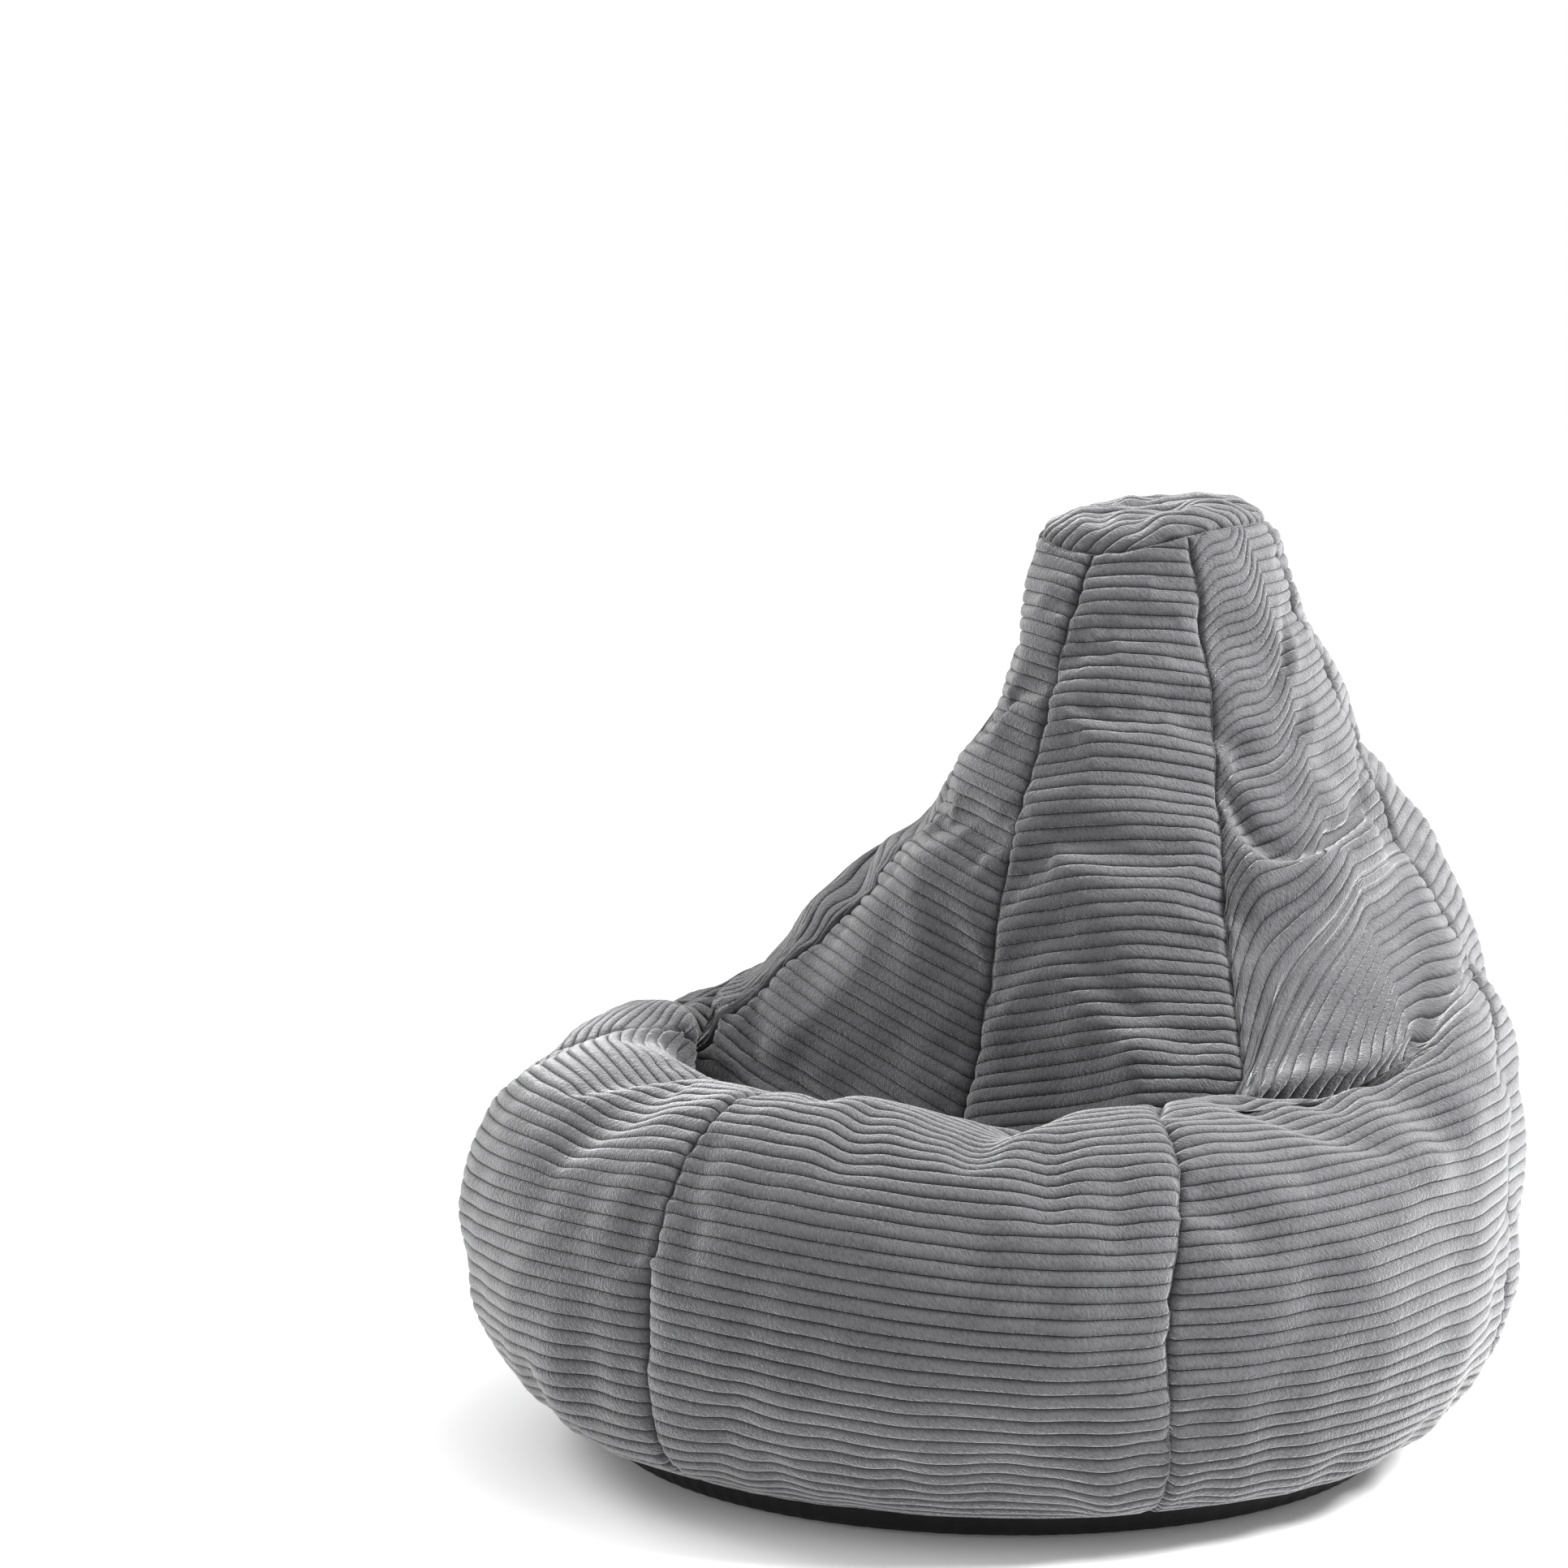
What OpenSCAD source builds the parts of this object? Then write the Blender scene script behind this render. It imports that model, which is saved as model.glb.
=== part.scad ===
// Bean bag chair: a teardrop bag of six corduroy panels with a hexagonal cap and a round black base.
// +Z is up, the seat faces -Y, and the origin is on the floor, midway along the width and the depth.

/* [Cover] */
// Thickness of the corduroy
cloth_t = 4; // [3:0.5:4]
// Gap between two panels at a seam, filled by the thread
seam_gap = 2.4; // [2:0.2:4]
// How far the top of the backrest has slumped to the right
top_lean = 22; // [0:1:30]
// Height of the middle of the cap
cap_top_z = 775; // [765:1:790]

/* [Base] */
// Radius of the base seam
base_r = 340; // [335:1:345]
// Thickness of the base fabric
base_t = 3; // [2:0.5:3]
// Height of the base seam above the floor
base_seam_z = 24; // [22:1:26]

/* [Zip] */
// Length of the zip in the base
zip_l = 460; // [300:10:500]
// Width of one zip tape
tape_w = 13; // [10:1:16]
// Radius of one zip coil
coil_r = 1.2; // [1:0.1:1.2]

/* [Filling] */
// Thickness of the inner liner
liner_t = 0.8; // [0.5:0.1:0.8]
// Height of the liner's flat underside, clear of the zip slider
liner_floor_z = 9; // [8:0.5:12]

/* [Hidden] */

// The bag's axis stands this far in front of the frame's origin at the base.
base_y = -20;
base_side = [base_r * sin(60), base_r * cos(60)];

// The seams, from the base seam, up the belly, over the lip or arm, through the seat and up the
// backrest to the cap. Each is the control polygon of a smooth curve, as [x, y, z].
front_seam = [
    [0, base_y - base_r, base_seam_z], [0, -415, 50], [0, -435, 145], [0, -415, 230], [0, -380, 290],
    [0, -330, 325], [0, -235, 305], [0, -130, 250], [0, -80, 200], [0, -55, 335],
    [0, -20, 485], [0, 25, 625], [0, 70, 730]];
front_side_seam = [
    [base_side[0], base_y - base_side[1], base_seam_z], [350, -225, 50], [370, -260, 160],
    [370, -255, 235], [355, -220, 300], [290, -180, 330], [260, -125, 320], [270, -110, 290],
    [285, -65, 310], [240, -25, 370], [170, 40, 460], [110, 100, 595], [80, 100, 745]];
rear_side_seam = [
    [base_side[0], base_y + base_side[1], base_seam_z], [340, 185, 60], [370, 195, 170],
    [370, 190, 275], [345, 195, 345], [300, 215, 400], [250, 240, 455], [195, 255, 505],
    [155, 260, 555], [135, 250, 610], [120, 230, 660], [105, 215, 710], [80, 205, 755]];
rear_seam = [
    [0, base_y + base_r, base_seam_z], [0, 375, 60], [0, 420, 165], [0, 430, 280], [0, 425, 385],
    [0, 410, 465], [0, 380, 525], [0, 350, 580], [0, 325, 620], [0, 305, 660], [0, 290, 695],
    [0, 275, 720], [0, 260, 755]];
// How far the fold beside the seat moves the middle of each side panel, at the same places.
side_fold = [
    [0, 0, 0], [0, 0, 0], [0, 0, 0], [0, 0, 0], [0, 0, 0],
    [30, 0, -25], [50, 0, -55], [55, 0, -50], [30, 0, -45], [0, 0, 0],
    [0, 0, 0], [0, 0, 0], [0, 0, 0]];

// Mesh density: steps up a seam and steps across one panel.
up_steps = 42;
across_steps = 6;
// Gaps between the layers: cover and liner, liner and filling.
liner_gap = 1;
fill_gap = 1.4;
liner_depth = cloth_t + liner_gap;
fill_depth = liner_depth + liner_t + fill_gap;
fill_floor_z = liner_floor_z + liner_t + fill_gap;
// Room between the top edges of the panels and the cap, where the cap seam's thread runs.
cap_gap = 1.5;
cap_mid = [top_lean, 165, cap_top_z - cap_gap - cloth_t];
cap_rings = [0.93, 0.8, 0.6, 0.4, 0.2];
// Threads.
thread_r = 0.5;
thread_sides = 5;
thread_inset = 0.004;
// Flat part of the base, and the profile of its turned-up edge.
base_flat_r = base_r - 28;
base_corner_r = base_r - 10;
base_corner_z = 8;
base_rim_r = base_r - 2;
base_rim_z = base_seam_z - 4;
panel_split = 0.6;
// Zip.
zip_slot_w = 12;
zip_clear = 0.3;
coil_gap = 1.3;
coil_y = coil_gap / 2 + coil_r;
coil_z = 3.6;
tape_t = 0.7;
slider_l = 11;
slider_w = 9;
slider_plate_t = 1;
slider_low_z = 1;
slider_high_z = 5.4;
slider_post_w = coil_gap - 2 * zip_clear;
slider_start_x = -zip_l / 2 + 15;

// ---- the cover's surface ----

// Control point number i of a seam, with one more beyond each end so that the curve meets its ends.
function control(seam, i) =
    i < 0 ? 2 * seam[0] - seam[1]
    : i >= len(seam) ? 2 * seam[len(seam) - 1] - seam[len(seam) - 2]
    : seam[i];

// Point of a seam's curve at u, from 0 at the base to 1 at the cap.
function along(seam, u) =
    let (s = u * (len(seam) - 1), i = min(floor(s), len(seam) - 2), f = s - i)
    pow(1 - f, 3) / 6 * control(seam, i - 1)
    + (3 * pow(f, 3) - 6 * f * f + 4) / 6 * control(seam, i)
    + (-3 * pow(f, 3) + 3 * f * f + 3 * f + 1) / 6 * control(seam, i + 1)
    + pow(f, 3) / 6 * control(seam, i + 2);

// Even wave round the bag that has the values v at 0, 60, 120 and 180 degrees.
function wave(v, a) =
    (v[0] + 2 * v[1] + 2 * v[2] + v[3]) / 6
    + (v[0] + v[1] - v[2] - v[3]) / 3 * cos(a)
    + (v[0] - v[1] - v[2] + v[3]) / 3 * cos(2 * a)
    + (v[0] - 2 * v[1] + 2 * v[2] - v[3]) / 6 * cos(3 * a);

function smooth(t) = let (c = min(max(t, 0), 1)) c * c * (3 - 2 * c);

// Share of the side fold at an angle: 1 in the middle of a side panel, 0 at its seams and beyond.
function fold_share(a) =
    let (turned = abs((a + 180) % 360 - 180))
    turned > 60 && turned < 120 ? pow(sin(3 * turned), 2) : 0;

// Ring of the cover at height u, at each of the angles: 0 is the front, 90 the right side.
function ring(u, angles) =
    let (p = [along(front_seam, u), along(front_side_seam, u), along(rear_side_seam, u),
              along(rear_seam, u)],
         fold = along(side_fold, u),
         wide = (p[1][0] + p[2][0]) / sqrt(3),
         taper = (p[1][0] - p[2][0]) / sqrt(3),
         lean = top_lean * smooth(2 * u - 1))
    [for (a = angles)
        let (share = fold_share(a)) [
            wide * sin(a) + taper * sin(2 * a) + fold[0] * share * sign(sin(a)) + lean,
            wave([for (q = p) q[1]], a) + fold[1] * share,
            wave([for (q = p) q[2]], a) + fold[2] * share]];

function unit(v) = v / norm(v);

// The same ring, moved inwards by depth along the surface's normals.
function ring_at(u, angles, depth) =
    let (step = 0.002, turn = 0.5,
         here = ring(u, angles),
         up = ring(u + step, angles) - ring(u - step, angles),
         across = ring(u, [for (a = angles) a + turn]) - ring(u, [for (a = angles) a - turn]))
    [for (j = [0 : len(angles) - 1]) here[j] - depth * unit(cross(across[j], up[j]))];

// Ring of the cap: 1 is its edge, 0 its middle.
function cap_ring(part, angles, depth) =
    [for (e = ring(1, angles)) [
        cap_mid[0] + (e[0] - cap_mid[0]) * part,
        cap_mid[1] + (e[1] - cap_mid[1]) * part,
        cap_mid[2] + (e[2] - cap_mid[2]) * part * part + cap_gap + cloth_t - depth]];

// Ring on the flat underside of the liner or the filling.
function floor_ring(r, z, angles) = [for (a = angles) [r * sin(a), base_y - r * cos(a), z]];

// Heights of the rings, twice as close together at the crease of the seat as on the average.
heights = [for (i = [0 : up_steps])
    let (t = i / up_steps, closer = 0.08, crease = 220)
    t - closer * (sin(360 * t - crease) + sin(crease))];

// ---- solids made from rings ----

// Faces of one side of a sheet. The first point is number first, and the rows go up.
function side_faces(rows, cols, first, inside) =
    [for (i = [0 : rows - 2], j = [0 : cols - 2])
        let (a = first + i * cols + j, b = a + 1, d = a + cols, c = d + 1)
        each inside ? [[a, c, d], [a, b, c]] : [[a, d, c], [a, c, b]]];

// Faces that join two edges of a sheet, given as lists of point numbers.
function edge_faces(outer, inner) =
    [for (k = [0 : len(outer) - 2])
        each [[outer[k], outer[k + 1], inner[k + 1]], [outer[k], inner[k + 1], inner[k]]]];

// Sheet with an outer and an inner surface, each a list of rings of the same length.
module sheet(outer, inner) {
    rows = len(outer);
    cols = len(outer[0]);
    n = rows * cols;
    low = [for (j = [0 : cols - 1]) j];
    high = [for (j = [cols - 1 : -1 : 0]) (rows - 1) * cols + j];
    left = [for (i = [rows - 1 : -1 : 0]) i * cols];
    right = [for (i = [0 : rows - 1]) i * cols + cols - 1];
    polyhedron(
        points = concat([for (r = outer) each r], [for (r = inner) each r]),
        faces = concat(
            side_faces(rows, cols, 0, false),
            side_faces(rows, cols, n, true),
            [for (e = [low, high, left, right]) each edge_faces(e, [for (k = e) k + n])]));
}

// Closed body made of full rings, with a point at its bottom and one at its top.
module closed_body(rings, bottom, top) {
    rows = len(rings);
    cols = len(rings[0]);
    last = rows * cols;
    points = concat([for (r = rings) each r], [bottom, top]);
    walls = [for (i = [0 : rows - 2], j = [0 : cols - 1])
        let (a = i * cols + j, b = i * cols + (j + 1) % cols, d = a + cols, c = b + cols)
        each [[a, d, c], [a, c, b]]];
    ends = [for (j = [0 : cols - 1])
        let (k = (j + 1) % cols, t = (rows - 1) * cols)
        each [[last, j, k], [last + 1, t + k, t + j]]];
    polyhedron(points = points, faces = concat(walls, ends));
}

// Thread swept along a path; a closed one ends where it starts.
module thread(path, closed = false) {
    n = len(path);
    s = thread_sides;
    ahead = [for (i = [0 : n - 1])
        unit(path[closed ? (i + 1) % n : min(i + 1, n - 1)] - path[closed ? (i + n - 1) % n : max(i - 1, 0)])];
    rings = [for (i = [0 : n - 1])
        let (side = unit(cross(ahead[i], abs(ahead[i][2]) > 0.9 ? [1, 0, 0] : [0, 0, 1])),
             up = cross(side, ahead[i]))
        [for (k = [0 : s - 1]) path[i] + thread_r * (cos(360 * k / s) * side + sin(360 * k / s) * up)]];
    walls = [for (i = [0 : closed ? n - 1 : n - 2], k = [0 : s - 1])
        let (a = i * s + k, b = i * s + (k + 1) % s,
             d = (i + 1) % n * s + k, c = (i + 1) % n * s + (k + 1) % s)
        each [[a, c, d], [a, b, c]]];
    ends = closed ? [] : [[for (k = [s - 1 : -1 : 0]) k], [for (k = [0 : s - 1]) (n - 1) * s + k]];
    polyhedron(points = [for (r = rings) each r], faces = concat(walls, ends));
}

// ---- cover ----

// Angle from a seam over which the surface moves away from it by half the seam's gap.
function trim(seam_angle, u) =
    let (step = 0.002, turn = 0.5,
         low = ring(u - step, [seam_angle])[0],
         high = ring(u + step, [seam_angle])[0],
         sides = ring(u, [seam_angle - turn, seam_angle + turn]))
    seam_gap / 2 / norm(cross(sides[1] - sides[0], unit(high - low))) * 2 * turn;

// Angles across one panel, drawn in from both seams.
function panel_angles(first, u) =
    [for (j = [0 : across_steps])
        j == 0 ? first + trim(first, u)
        : j == across_steps ? first + 60 - trim(first + 60, u)
        : first + 60 * j / across_steps];

// One of the six panels; first is the angle of its seam nearest the front, going round.
module panel(first) {
    color("dimgray")
        sheet([for (u = heights) ring_at(u, panel_angles(first, u), 0)],
              [for (u = heights) ring_at(u, panel_angles(first, u), cloth_t)]);
}

full_turn = [for (j = [0 : 6 * across_steps - 1]) j * 60 / across_steps];

module front_right_panel() { panel(0); }
module right_panel() { panel(60); }
module back_right_panel() { panel(120); }
module back_left_panel() { panel(180); }
module left_panel() { panel(240); }
module front_left_panel() { panel(300); }

module top_cap() {
    parts = concat([1], cap_rings);
    top_rings = [for (p = parts) cap_ring(p, full_turn, 0)];
    under_rings = [for (i = [len(parts) - 1 : -1 : 0]) cap_ring(parts[i], full_turn, cloth_t)];
    color("dimgray")
        closed_body(concat(under_rings, top_rings),
                    cap_mid + [0, 0, cap_gap], cap_mid + [0, 0, cap_gap + cloth_t]);
}

// ---- base and zip ----

// Half of the turned dish of the base; side is -1 for the front half and 1 for the rear one.
module base_half(side) {
    color([0.06, 0.06, 0.06])
        translate([0, base_y, 0])
            difference() {
                rotate_extrude($fn = 96)
                    polygon([
                        [0, 0], [base_flat_r, 0], [base_corner_r, base_corner_z],
                        [base_rim_r, base_rim_z], [base_rim_r - base_t, base_rim_z + 1],
                        [base_corner_r - base_t, base_corner_z + base_t], [base_flat_r - 1, base_t],
                        [0, base_t]]);
                translate([-base_r, side > 0 ? -2 * base_r : -panel_split / 2, -1])
                    cube([2 * base_r, 2 * base_r + panel_split / 2, base_seam_z + 2]);
                translate([-zip_l / 2 - 6, -zip_slot_w / 2, -1])
                    cube([zip_l + 12, zip_slot_w, base_t + 2]);
            }
}

module base_panel_front() { base_half(-1); }
module base_panel_rear() { base_half(1); }

// Side is -1 for the piece in front of the zip's line and 1 for the one behind it.
module zip_tape(side) {
    near = coil_y + coil_r + 0.2;
    color([0.1, 0.1, 0.1])
        translate([-zip_l / 2, base_y + (side > 0 ? near : -near - tape_w), base_t + 0.3])
            cube([zip_l, tape_w, tape_t]);
}

module zip_coil(side) {
    color([0.15, 0.15, 0.15])
        translate([-zip_l / 2, base_y + side * coil_y, coil_z])
            rotate([0, 90, 0])
                cylinder(r = coil_r, h = zip_l, $fn = 24);
}

module zip_tape_front() { zip_tape(-1); }
module zip_tape_rear() { zip_tape(1); }
module zip_coil_front() { zip_coil(-1); }
module zip_coil_rear() { zip_coil(1); }

// Slider without a pull tab, so that a child can't open it: two plates and a post between the coils.
module zip_slider() {
    lip_t = 0.8;
    lip_h = slider_high_z - (base_t + 0.3 + tape_t) - zip_clear;
    color([0.25, 0.25, 0.26])
        translate([slider_start_x, base_y, 0]) {
            for (z = [slider_low_z, slider_high_z])
                translate([-slider_l / 2, -slider_w / 2, z])
                    cube([slider_l, slider_w, slider_plate_t]);
            translate([-slider_l / 2, -slider_post_w / 2, slider_low_z])
                cube([slider_l / 3, slider_post_w, slider_high_z - slider_low_z + slider_plate_t]);
            for (side = [-1, 1])
                translate([-slider_l / 2, side * (slider_w - lip_t) / 2 - lip_t / 2, slider_high_z - lip_h])
                    cube([slider_l, lip_t, lip_h + slider_plate_t]);
        }
}

module zip_end_stops() {
    stop = [3, 6, 3];
    color([0.25, 0.25, 0.26])
        for (end = [-1, 1])
            translate([end * (zip_l / 2 + zip_clear + stop[0] / 2) - stop[0] / 2,
                       base_y - stop[1] / 2, coil_z - stop[2] / 2])
                cube(stop);
}

// ---- liner and filling ----

// Half of the liner, from the angle first, over 180 degrees.
module liner_half(first) {
    cols = 3 * across_steps;
    angles = [for (j = [0 : cols])
        first + (j == 0 ? 0.1 : j == cols ? 179.9 : 180 * j / cols)];
    color([0.85, 0.85, 0.83])
        sheet(liner_rings(angles, liner_depth, liner_floor_z),
              liner_rings(angles, liner_depth + liner_t, liner_floor_z + liner_t));
}

// Rings of a bag inside the cover, from the middle of its floor to the middle of its top.
function liner_rings(angles, depth, floor_z) = concat(
    [floor_ring(5, floor_z, angles), floor_ring(base_flat_r, floor_z, angles)],
    [for (u = heights) ring_at(u, angles, depth)],
    [for (part = concat(cap_rings, [0.05])) cap_ring(part, angles, depth)]);

module liner_front_panel() { liner_half(-90); }
module liner_rear_panel() { liner_half(90); }

module bead_fill() {
    color("white")
        closed_body(
            concat([floor_ring(base_flat_r - 2, fill_floor_z, full_turn)],
                   [for (u = heights) ring_at(u, full_turn, fill_depth)],
                   [for (part = cap_rings) cap_ring(part, full_turn, fill_depth)]),
            [0, base_y, fill_floor_z],
            cap_mid + [0, 0, cap_gap + cloth_t - fill_depth]);
}

// ---- sewing thread ----

module body_seam_threads() {
    color([0.3, 0.3, 0.31])
        for (seam = [0 : 5])
            thread([for (u = heights)
                ring_at(min(max(u, thread_inset), 1 - thread_inset), [60 * seam], cloth_t / 2)[0]]);
}

module cap_seam_thread() {
    edge = ring_at(1, full_turn, cloth_t / 2);
    color([0.3, 0.3, 0.31])
        thread([for (e = edge) e + [0, 0, cap_gap / 2]], closed = true);
}

module base_seam_thread() {
    color([0.1, 0.1, 0.1])
        translate([0, base_y, base_seam_z - 1.6])
            rotate_extrude($fn = 96)
                translate([base_rim_r - base_t / 2, 0])
                    circle(r = thread_r, $fn = 16);
}

front_left_panel();
front_right_panel();
right_panel();
left_panel();
back_right_panel();
back_left_panel();
top_cap();
base_panel_front();
base_panel_rear();
zip_tape_front();
zip_tape_rear();
zip_coil_front();
zip_coil_rear();
zip_slider();
zip_end_stops();
liner_front_panel();
liner_rear_panel();
bead_fill();
body_seam_threads();
cap_seam_thread();
base_seam_thread();
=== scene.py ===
"""Bean bag chair in wide corduroy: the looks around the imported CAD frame."""

import math

import bpy
import numpy as np
from mathutils import Euler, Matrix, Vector
from mathutils.bvhtree import BVHTree


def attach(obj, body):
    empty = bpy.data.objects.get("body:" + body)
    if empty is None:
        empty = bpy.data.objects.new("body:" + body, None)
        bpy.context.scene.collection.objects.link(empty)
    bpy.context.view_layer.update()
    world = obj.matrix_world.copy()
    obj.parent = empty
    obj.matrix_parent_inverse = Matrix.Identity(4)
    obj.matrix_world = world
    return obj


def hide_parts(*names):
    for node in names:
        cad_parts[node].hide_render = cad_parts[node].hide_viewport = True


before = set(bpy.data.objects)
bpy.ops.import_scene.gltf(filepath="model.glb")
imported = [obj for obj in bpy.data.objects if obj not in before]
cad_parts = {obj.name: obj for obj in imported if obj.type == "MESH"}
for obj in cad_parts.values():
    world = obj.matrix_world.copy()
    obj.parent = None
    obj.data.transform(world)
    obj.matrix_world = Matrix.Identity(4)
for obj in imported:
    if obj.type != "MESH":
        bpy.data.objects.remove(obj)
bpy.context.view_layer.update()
scene = bpy.context.scene
random = np.random.default_rng(7)

MM = 0.001

# ---------- driving dimensions, in mm

PITCH = 11.4          # from one rib of the corduroy to the next
RIB_H = 3.0           # height of a rib over its groove
SEAM_DIP = 3.2        # how far a seam lies below the panels beside it
SEAM_REACH = 11.0     # from the seam to where the dip ends
RIB_END = 3.2         # length over which a rib rounds down to a seam
GROOVE = 0.7 * RIB_H  # depth of the grooves under the smooth surface, which runs through the ribs
FLANGE = 4.0          # seam allowance, turned inwards
CREASE_DEPTH = 24.0   # extra depth of the seat's crease
CREASE_WIDTH = 11.0
CAP_RIBS = 38.0       # direction of the cap's ribs, in degrees from +X
CAP_DOME = 19.0       # rise of the padded cap over its seam
CAP_DENT = 7.0
CAP_VALLEY = 115.0    # direction square to the dent across the cap
ZIP_L = 460.0
SLOT_W = 12.0
TAPE_W = 13.0
COIL_R = 0.8          # of the helix that the coil's wire makes
COIL_WIRE = 0.72      # thickness of the wire
COIL_PITCH = 1.25
COIL_Y, COIL_Z = 1.85, 3.6    # of its middle, from the zip's and from the floor
STITCH_L = 4.2
THREAD_R = 0.55       # of the thread in the corduroy's seams
SEAM_HOLD = 0.85      # how firmly the seams hold the settling cloth, from 0 to 1
LINER_T = 0.8
LINER_DEPTH, LINER_FLOOR = 18.0, 9.5    # under the cover's surface, and over the floor
BEAD_DEPTH, BEAD_FLOOR = 23.0, 12.0
MOST_MOVED = 8.0      # limit to how far the settling cloth moves
BROAD_H, SMALL_H = 3.6, 1.3    # heights of the cloth's long and short unevenness
CREASE_HOLD = 22.0    # cloth nearer to the crease is held while it settles
SETTLING_FRAMES = 20
SAG = 2.0             # how far the lowest cloth hangs below the base seam's height
ROLL = 7.0            # how far the cloth bulges on both sides of the crease

BASE_Y = -20.0
BASE_R = 340.0
SEAM_Z = 24.0
TOP_LEAN = 22.0
CAP_MID = (TOP_LEAN, 165.0, 769.5)
SIDE_X = BASE_R * math.sin(math.radians(60))
SIDE_Y = BASE_R * math.cos(math.radians(60))

# Control points of the seams' curves, as in the CAD source: from the base, over the lip or arm and
# through the seat, up the backrest to the cap.
FRONT_SEAM = [
    (0, BASE_Y - BASE_R, SEAM_Z), (0, -415, 50), (0, -435, 145), (0, -415, 230), (0, -380, 290),
    (0, -330, 325), (0, -235, 305), (0, -130, 250), (0, -80, 200), (0, -55, 335),
    (0, -20, 485), (0, 25, 625), (0, 70, 730)]
FRONT_SIDE_SEAM = [
    (SIDE_X, BASE_Y - SIDE_Y, SEAM_Z), (350, -225, 50), (370, -260, 160),
    (370, -255, 235), (355, -220, 300), (290, -180, 330), (260, -125, 320), (270, -110, 290),
    (285, -65, 310), (240, -25, 370), (170, 40, 460), (110, 100, 595), (80, 100, 745)]
REAR_SIDE_SEAM = [
    (SIDE_X, BASE_Y + SIDE_Y, SEAM_Z), (340, 185, 60), (370, 195, 170),
    (370, 190, 275), (345, 195, 345), (300, 215, 400), (250, 240, 455), (195, 255, 505),
    (155, 260, 555), (135, 250, 610), (120, 230, 660), (105, 215, 710), (80, 205, 755)]
REAR_SEAM = [
    (0, BASE_Y + BASE_R, SEAM_Z), (0, 375, 60), (0, 420, 165), (0, 430, 280), (0, 425, 385),
    (0, 410, 465), (0, 380, 525), (0, 350, 580), (0, 325, 620), (0, 305, 660), (0, 290, 695),
    (0, 275, 720), (0, 260, 755)]
SIDE_FOLD = [
    *[(0, 0, 0)] * 5, (30, 0, -25), (50, 0, -55), (55, 0, -50), (30, 0, -45), *[(0, 0, 0)] * 4]

PANELS = {"front_right_panel": 0, "right_panel": 60, "back_right_panel": 120,
          "back_left_panel": 180, "left_panel": 240, "front_left_panel": 300}

# ---------- small mathematics


def smooth(t):
    """Goes smoothly from 0 to 1."""
    t = np.clip(t, 0, 1)
    return t * t * (3 - 2 * t)


def turned(degrees):
    """Angle from the front, on either side."""
    return np.abs((np.asarray(degrees) + 180) % 360 - 180)


def unit(v):
    """The vectors at length 1."""
    return v / (np.linalg.norm(v, axis=-1, keepdims=True) + 1e-12)


def compass(degrees):
    """Level direction at this angle from +X."""
    return np.array([math.cos(math.radians(degrees)), math.sin(math.radians(degrees))])


def lengths_along(points, axis=0):
    """Length along a grid's lines from their start, in the direction of the given axis."""
    steps = np.linalg.norm(np.diff(points, axis=axis), axis=-1)
    start = np.zeros_like(np.take(steps, [0], axis))
    return np.concatenate([start, np.cumsum(steps, axis)], axis)


def along(points, u):
    """Points of the smooth curve with these control points, at each u from 0 to 1."""
    p = np.array(points, float)
    n = len(p)
    p = np.vstack([2 * p[0] - p[1], p, 2 * p[-1] - p[-2]])
    s = np.asarray(u) * (n - 1)
    i = np.clip(np.floor(s).astype(int), 0, n - 2)
    f = (s - i)[..., None]
    return ((1 - f) ** 3 / 6 * p[i] + (3 * f ** 3 - 6 * f ** 2 + 4) / 6 * p[i + 1]
            + (-3 * f ** 3 + 3 * f ** 2 + 3 * f + 1) / 6 * p[i + 2] + f ** 3 / 6 * p[i + 3])


def wave(v, a):
    """Even wave round the bag that has the values v at 0, 60, 120 and 180 degrees."""
    return ((v[0] + 2 * v[1] + 2 * v[2] + v[3]) / 6
            + (v[0] + v[1] - v[2] - v[3]) / 3 * np.cos(a)
            + (v[0] - v[1] - v[2] + v[3]) / 3 * np.cos(2 * a)
            + (v[0] - 2 * v[1] + 2 * v[2] - v[3]) / 6 * np.cos(3 * a))


def cover(u, degrees):
    """The cover's surface in mm: a grid of points for heights u and angles from the front."""
    a = np.radians(degrees)[None, :]
    p = [along(c, u)[:, None, :] for c in (FRONT_SEAM, FRONT_SIDE_SEAM, REAR_SIDE_SEAM, REAR_SEAM)]
    fold = along(SIDE_FOLD, u)[:, None, :]
    away = turned(degrees)[None, :]
    share = np.where((away > 60) & (away < 120), np.sin(np.radians(3 * away)) ** 2, 0)
    wide = (p[1][..., 0] + p[2][..., 0]) / math.sqrt(3)
    taper = (p[1][..., 0] - p[2][..., 0]) / math.sqrt(3)
    lean = TOP_LEAN * smooth(2 * np.asarray(u) - 1)[:, None]
    x = wide * np.sin(a) + taper * np.sin(2 * a) + fold[..., 0] * share * np.sign(np.sin(a)) + lean
    y = wave([q[..., 1] for q in p], a) + fold[..., 1] * share
    z = wave([q[..., 2] for q in p], a) + fold[..., 2] * share
    return np.stack([x, y, z], -1)


def cover_grid(u, degrees):
    """The cover's surface at heights that differ from one angle to the next."""
    return np.stack([cover(u[:, j], degrees[j:j + 1])[:, 0] for j in range(len(degrees))], 1)


class Waves:
    """Smooth seeded noise: a sum of plane waves with lengths from low to high mm."""

    def __init__(self, count, low, high):
        length = np.exp(random.uniform(math.log(low), math.log(high), count))
        self.k = unit(random.normal(size=(count, 3))) * (2 * math.pi / length)[:, None]
        self.phase = random.uniform(0, 2 * math.pi, count)
        self.weight = math.sqrt(2 / count)

    def __call__(self, p):
        return sum(np.sin(p @ k + phase) for k, phase in zip(self.k, self.phase)) * self.weight


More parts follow.
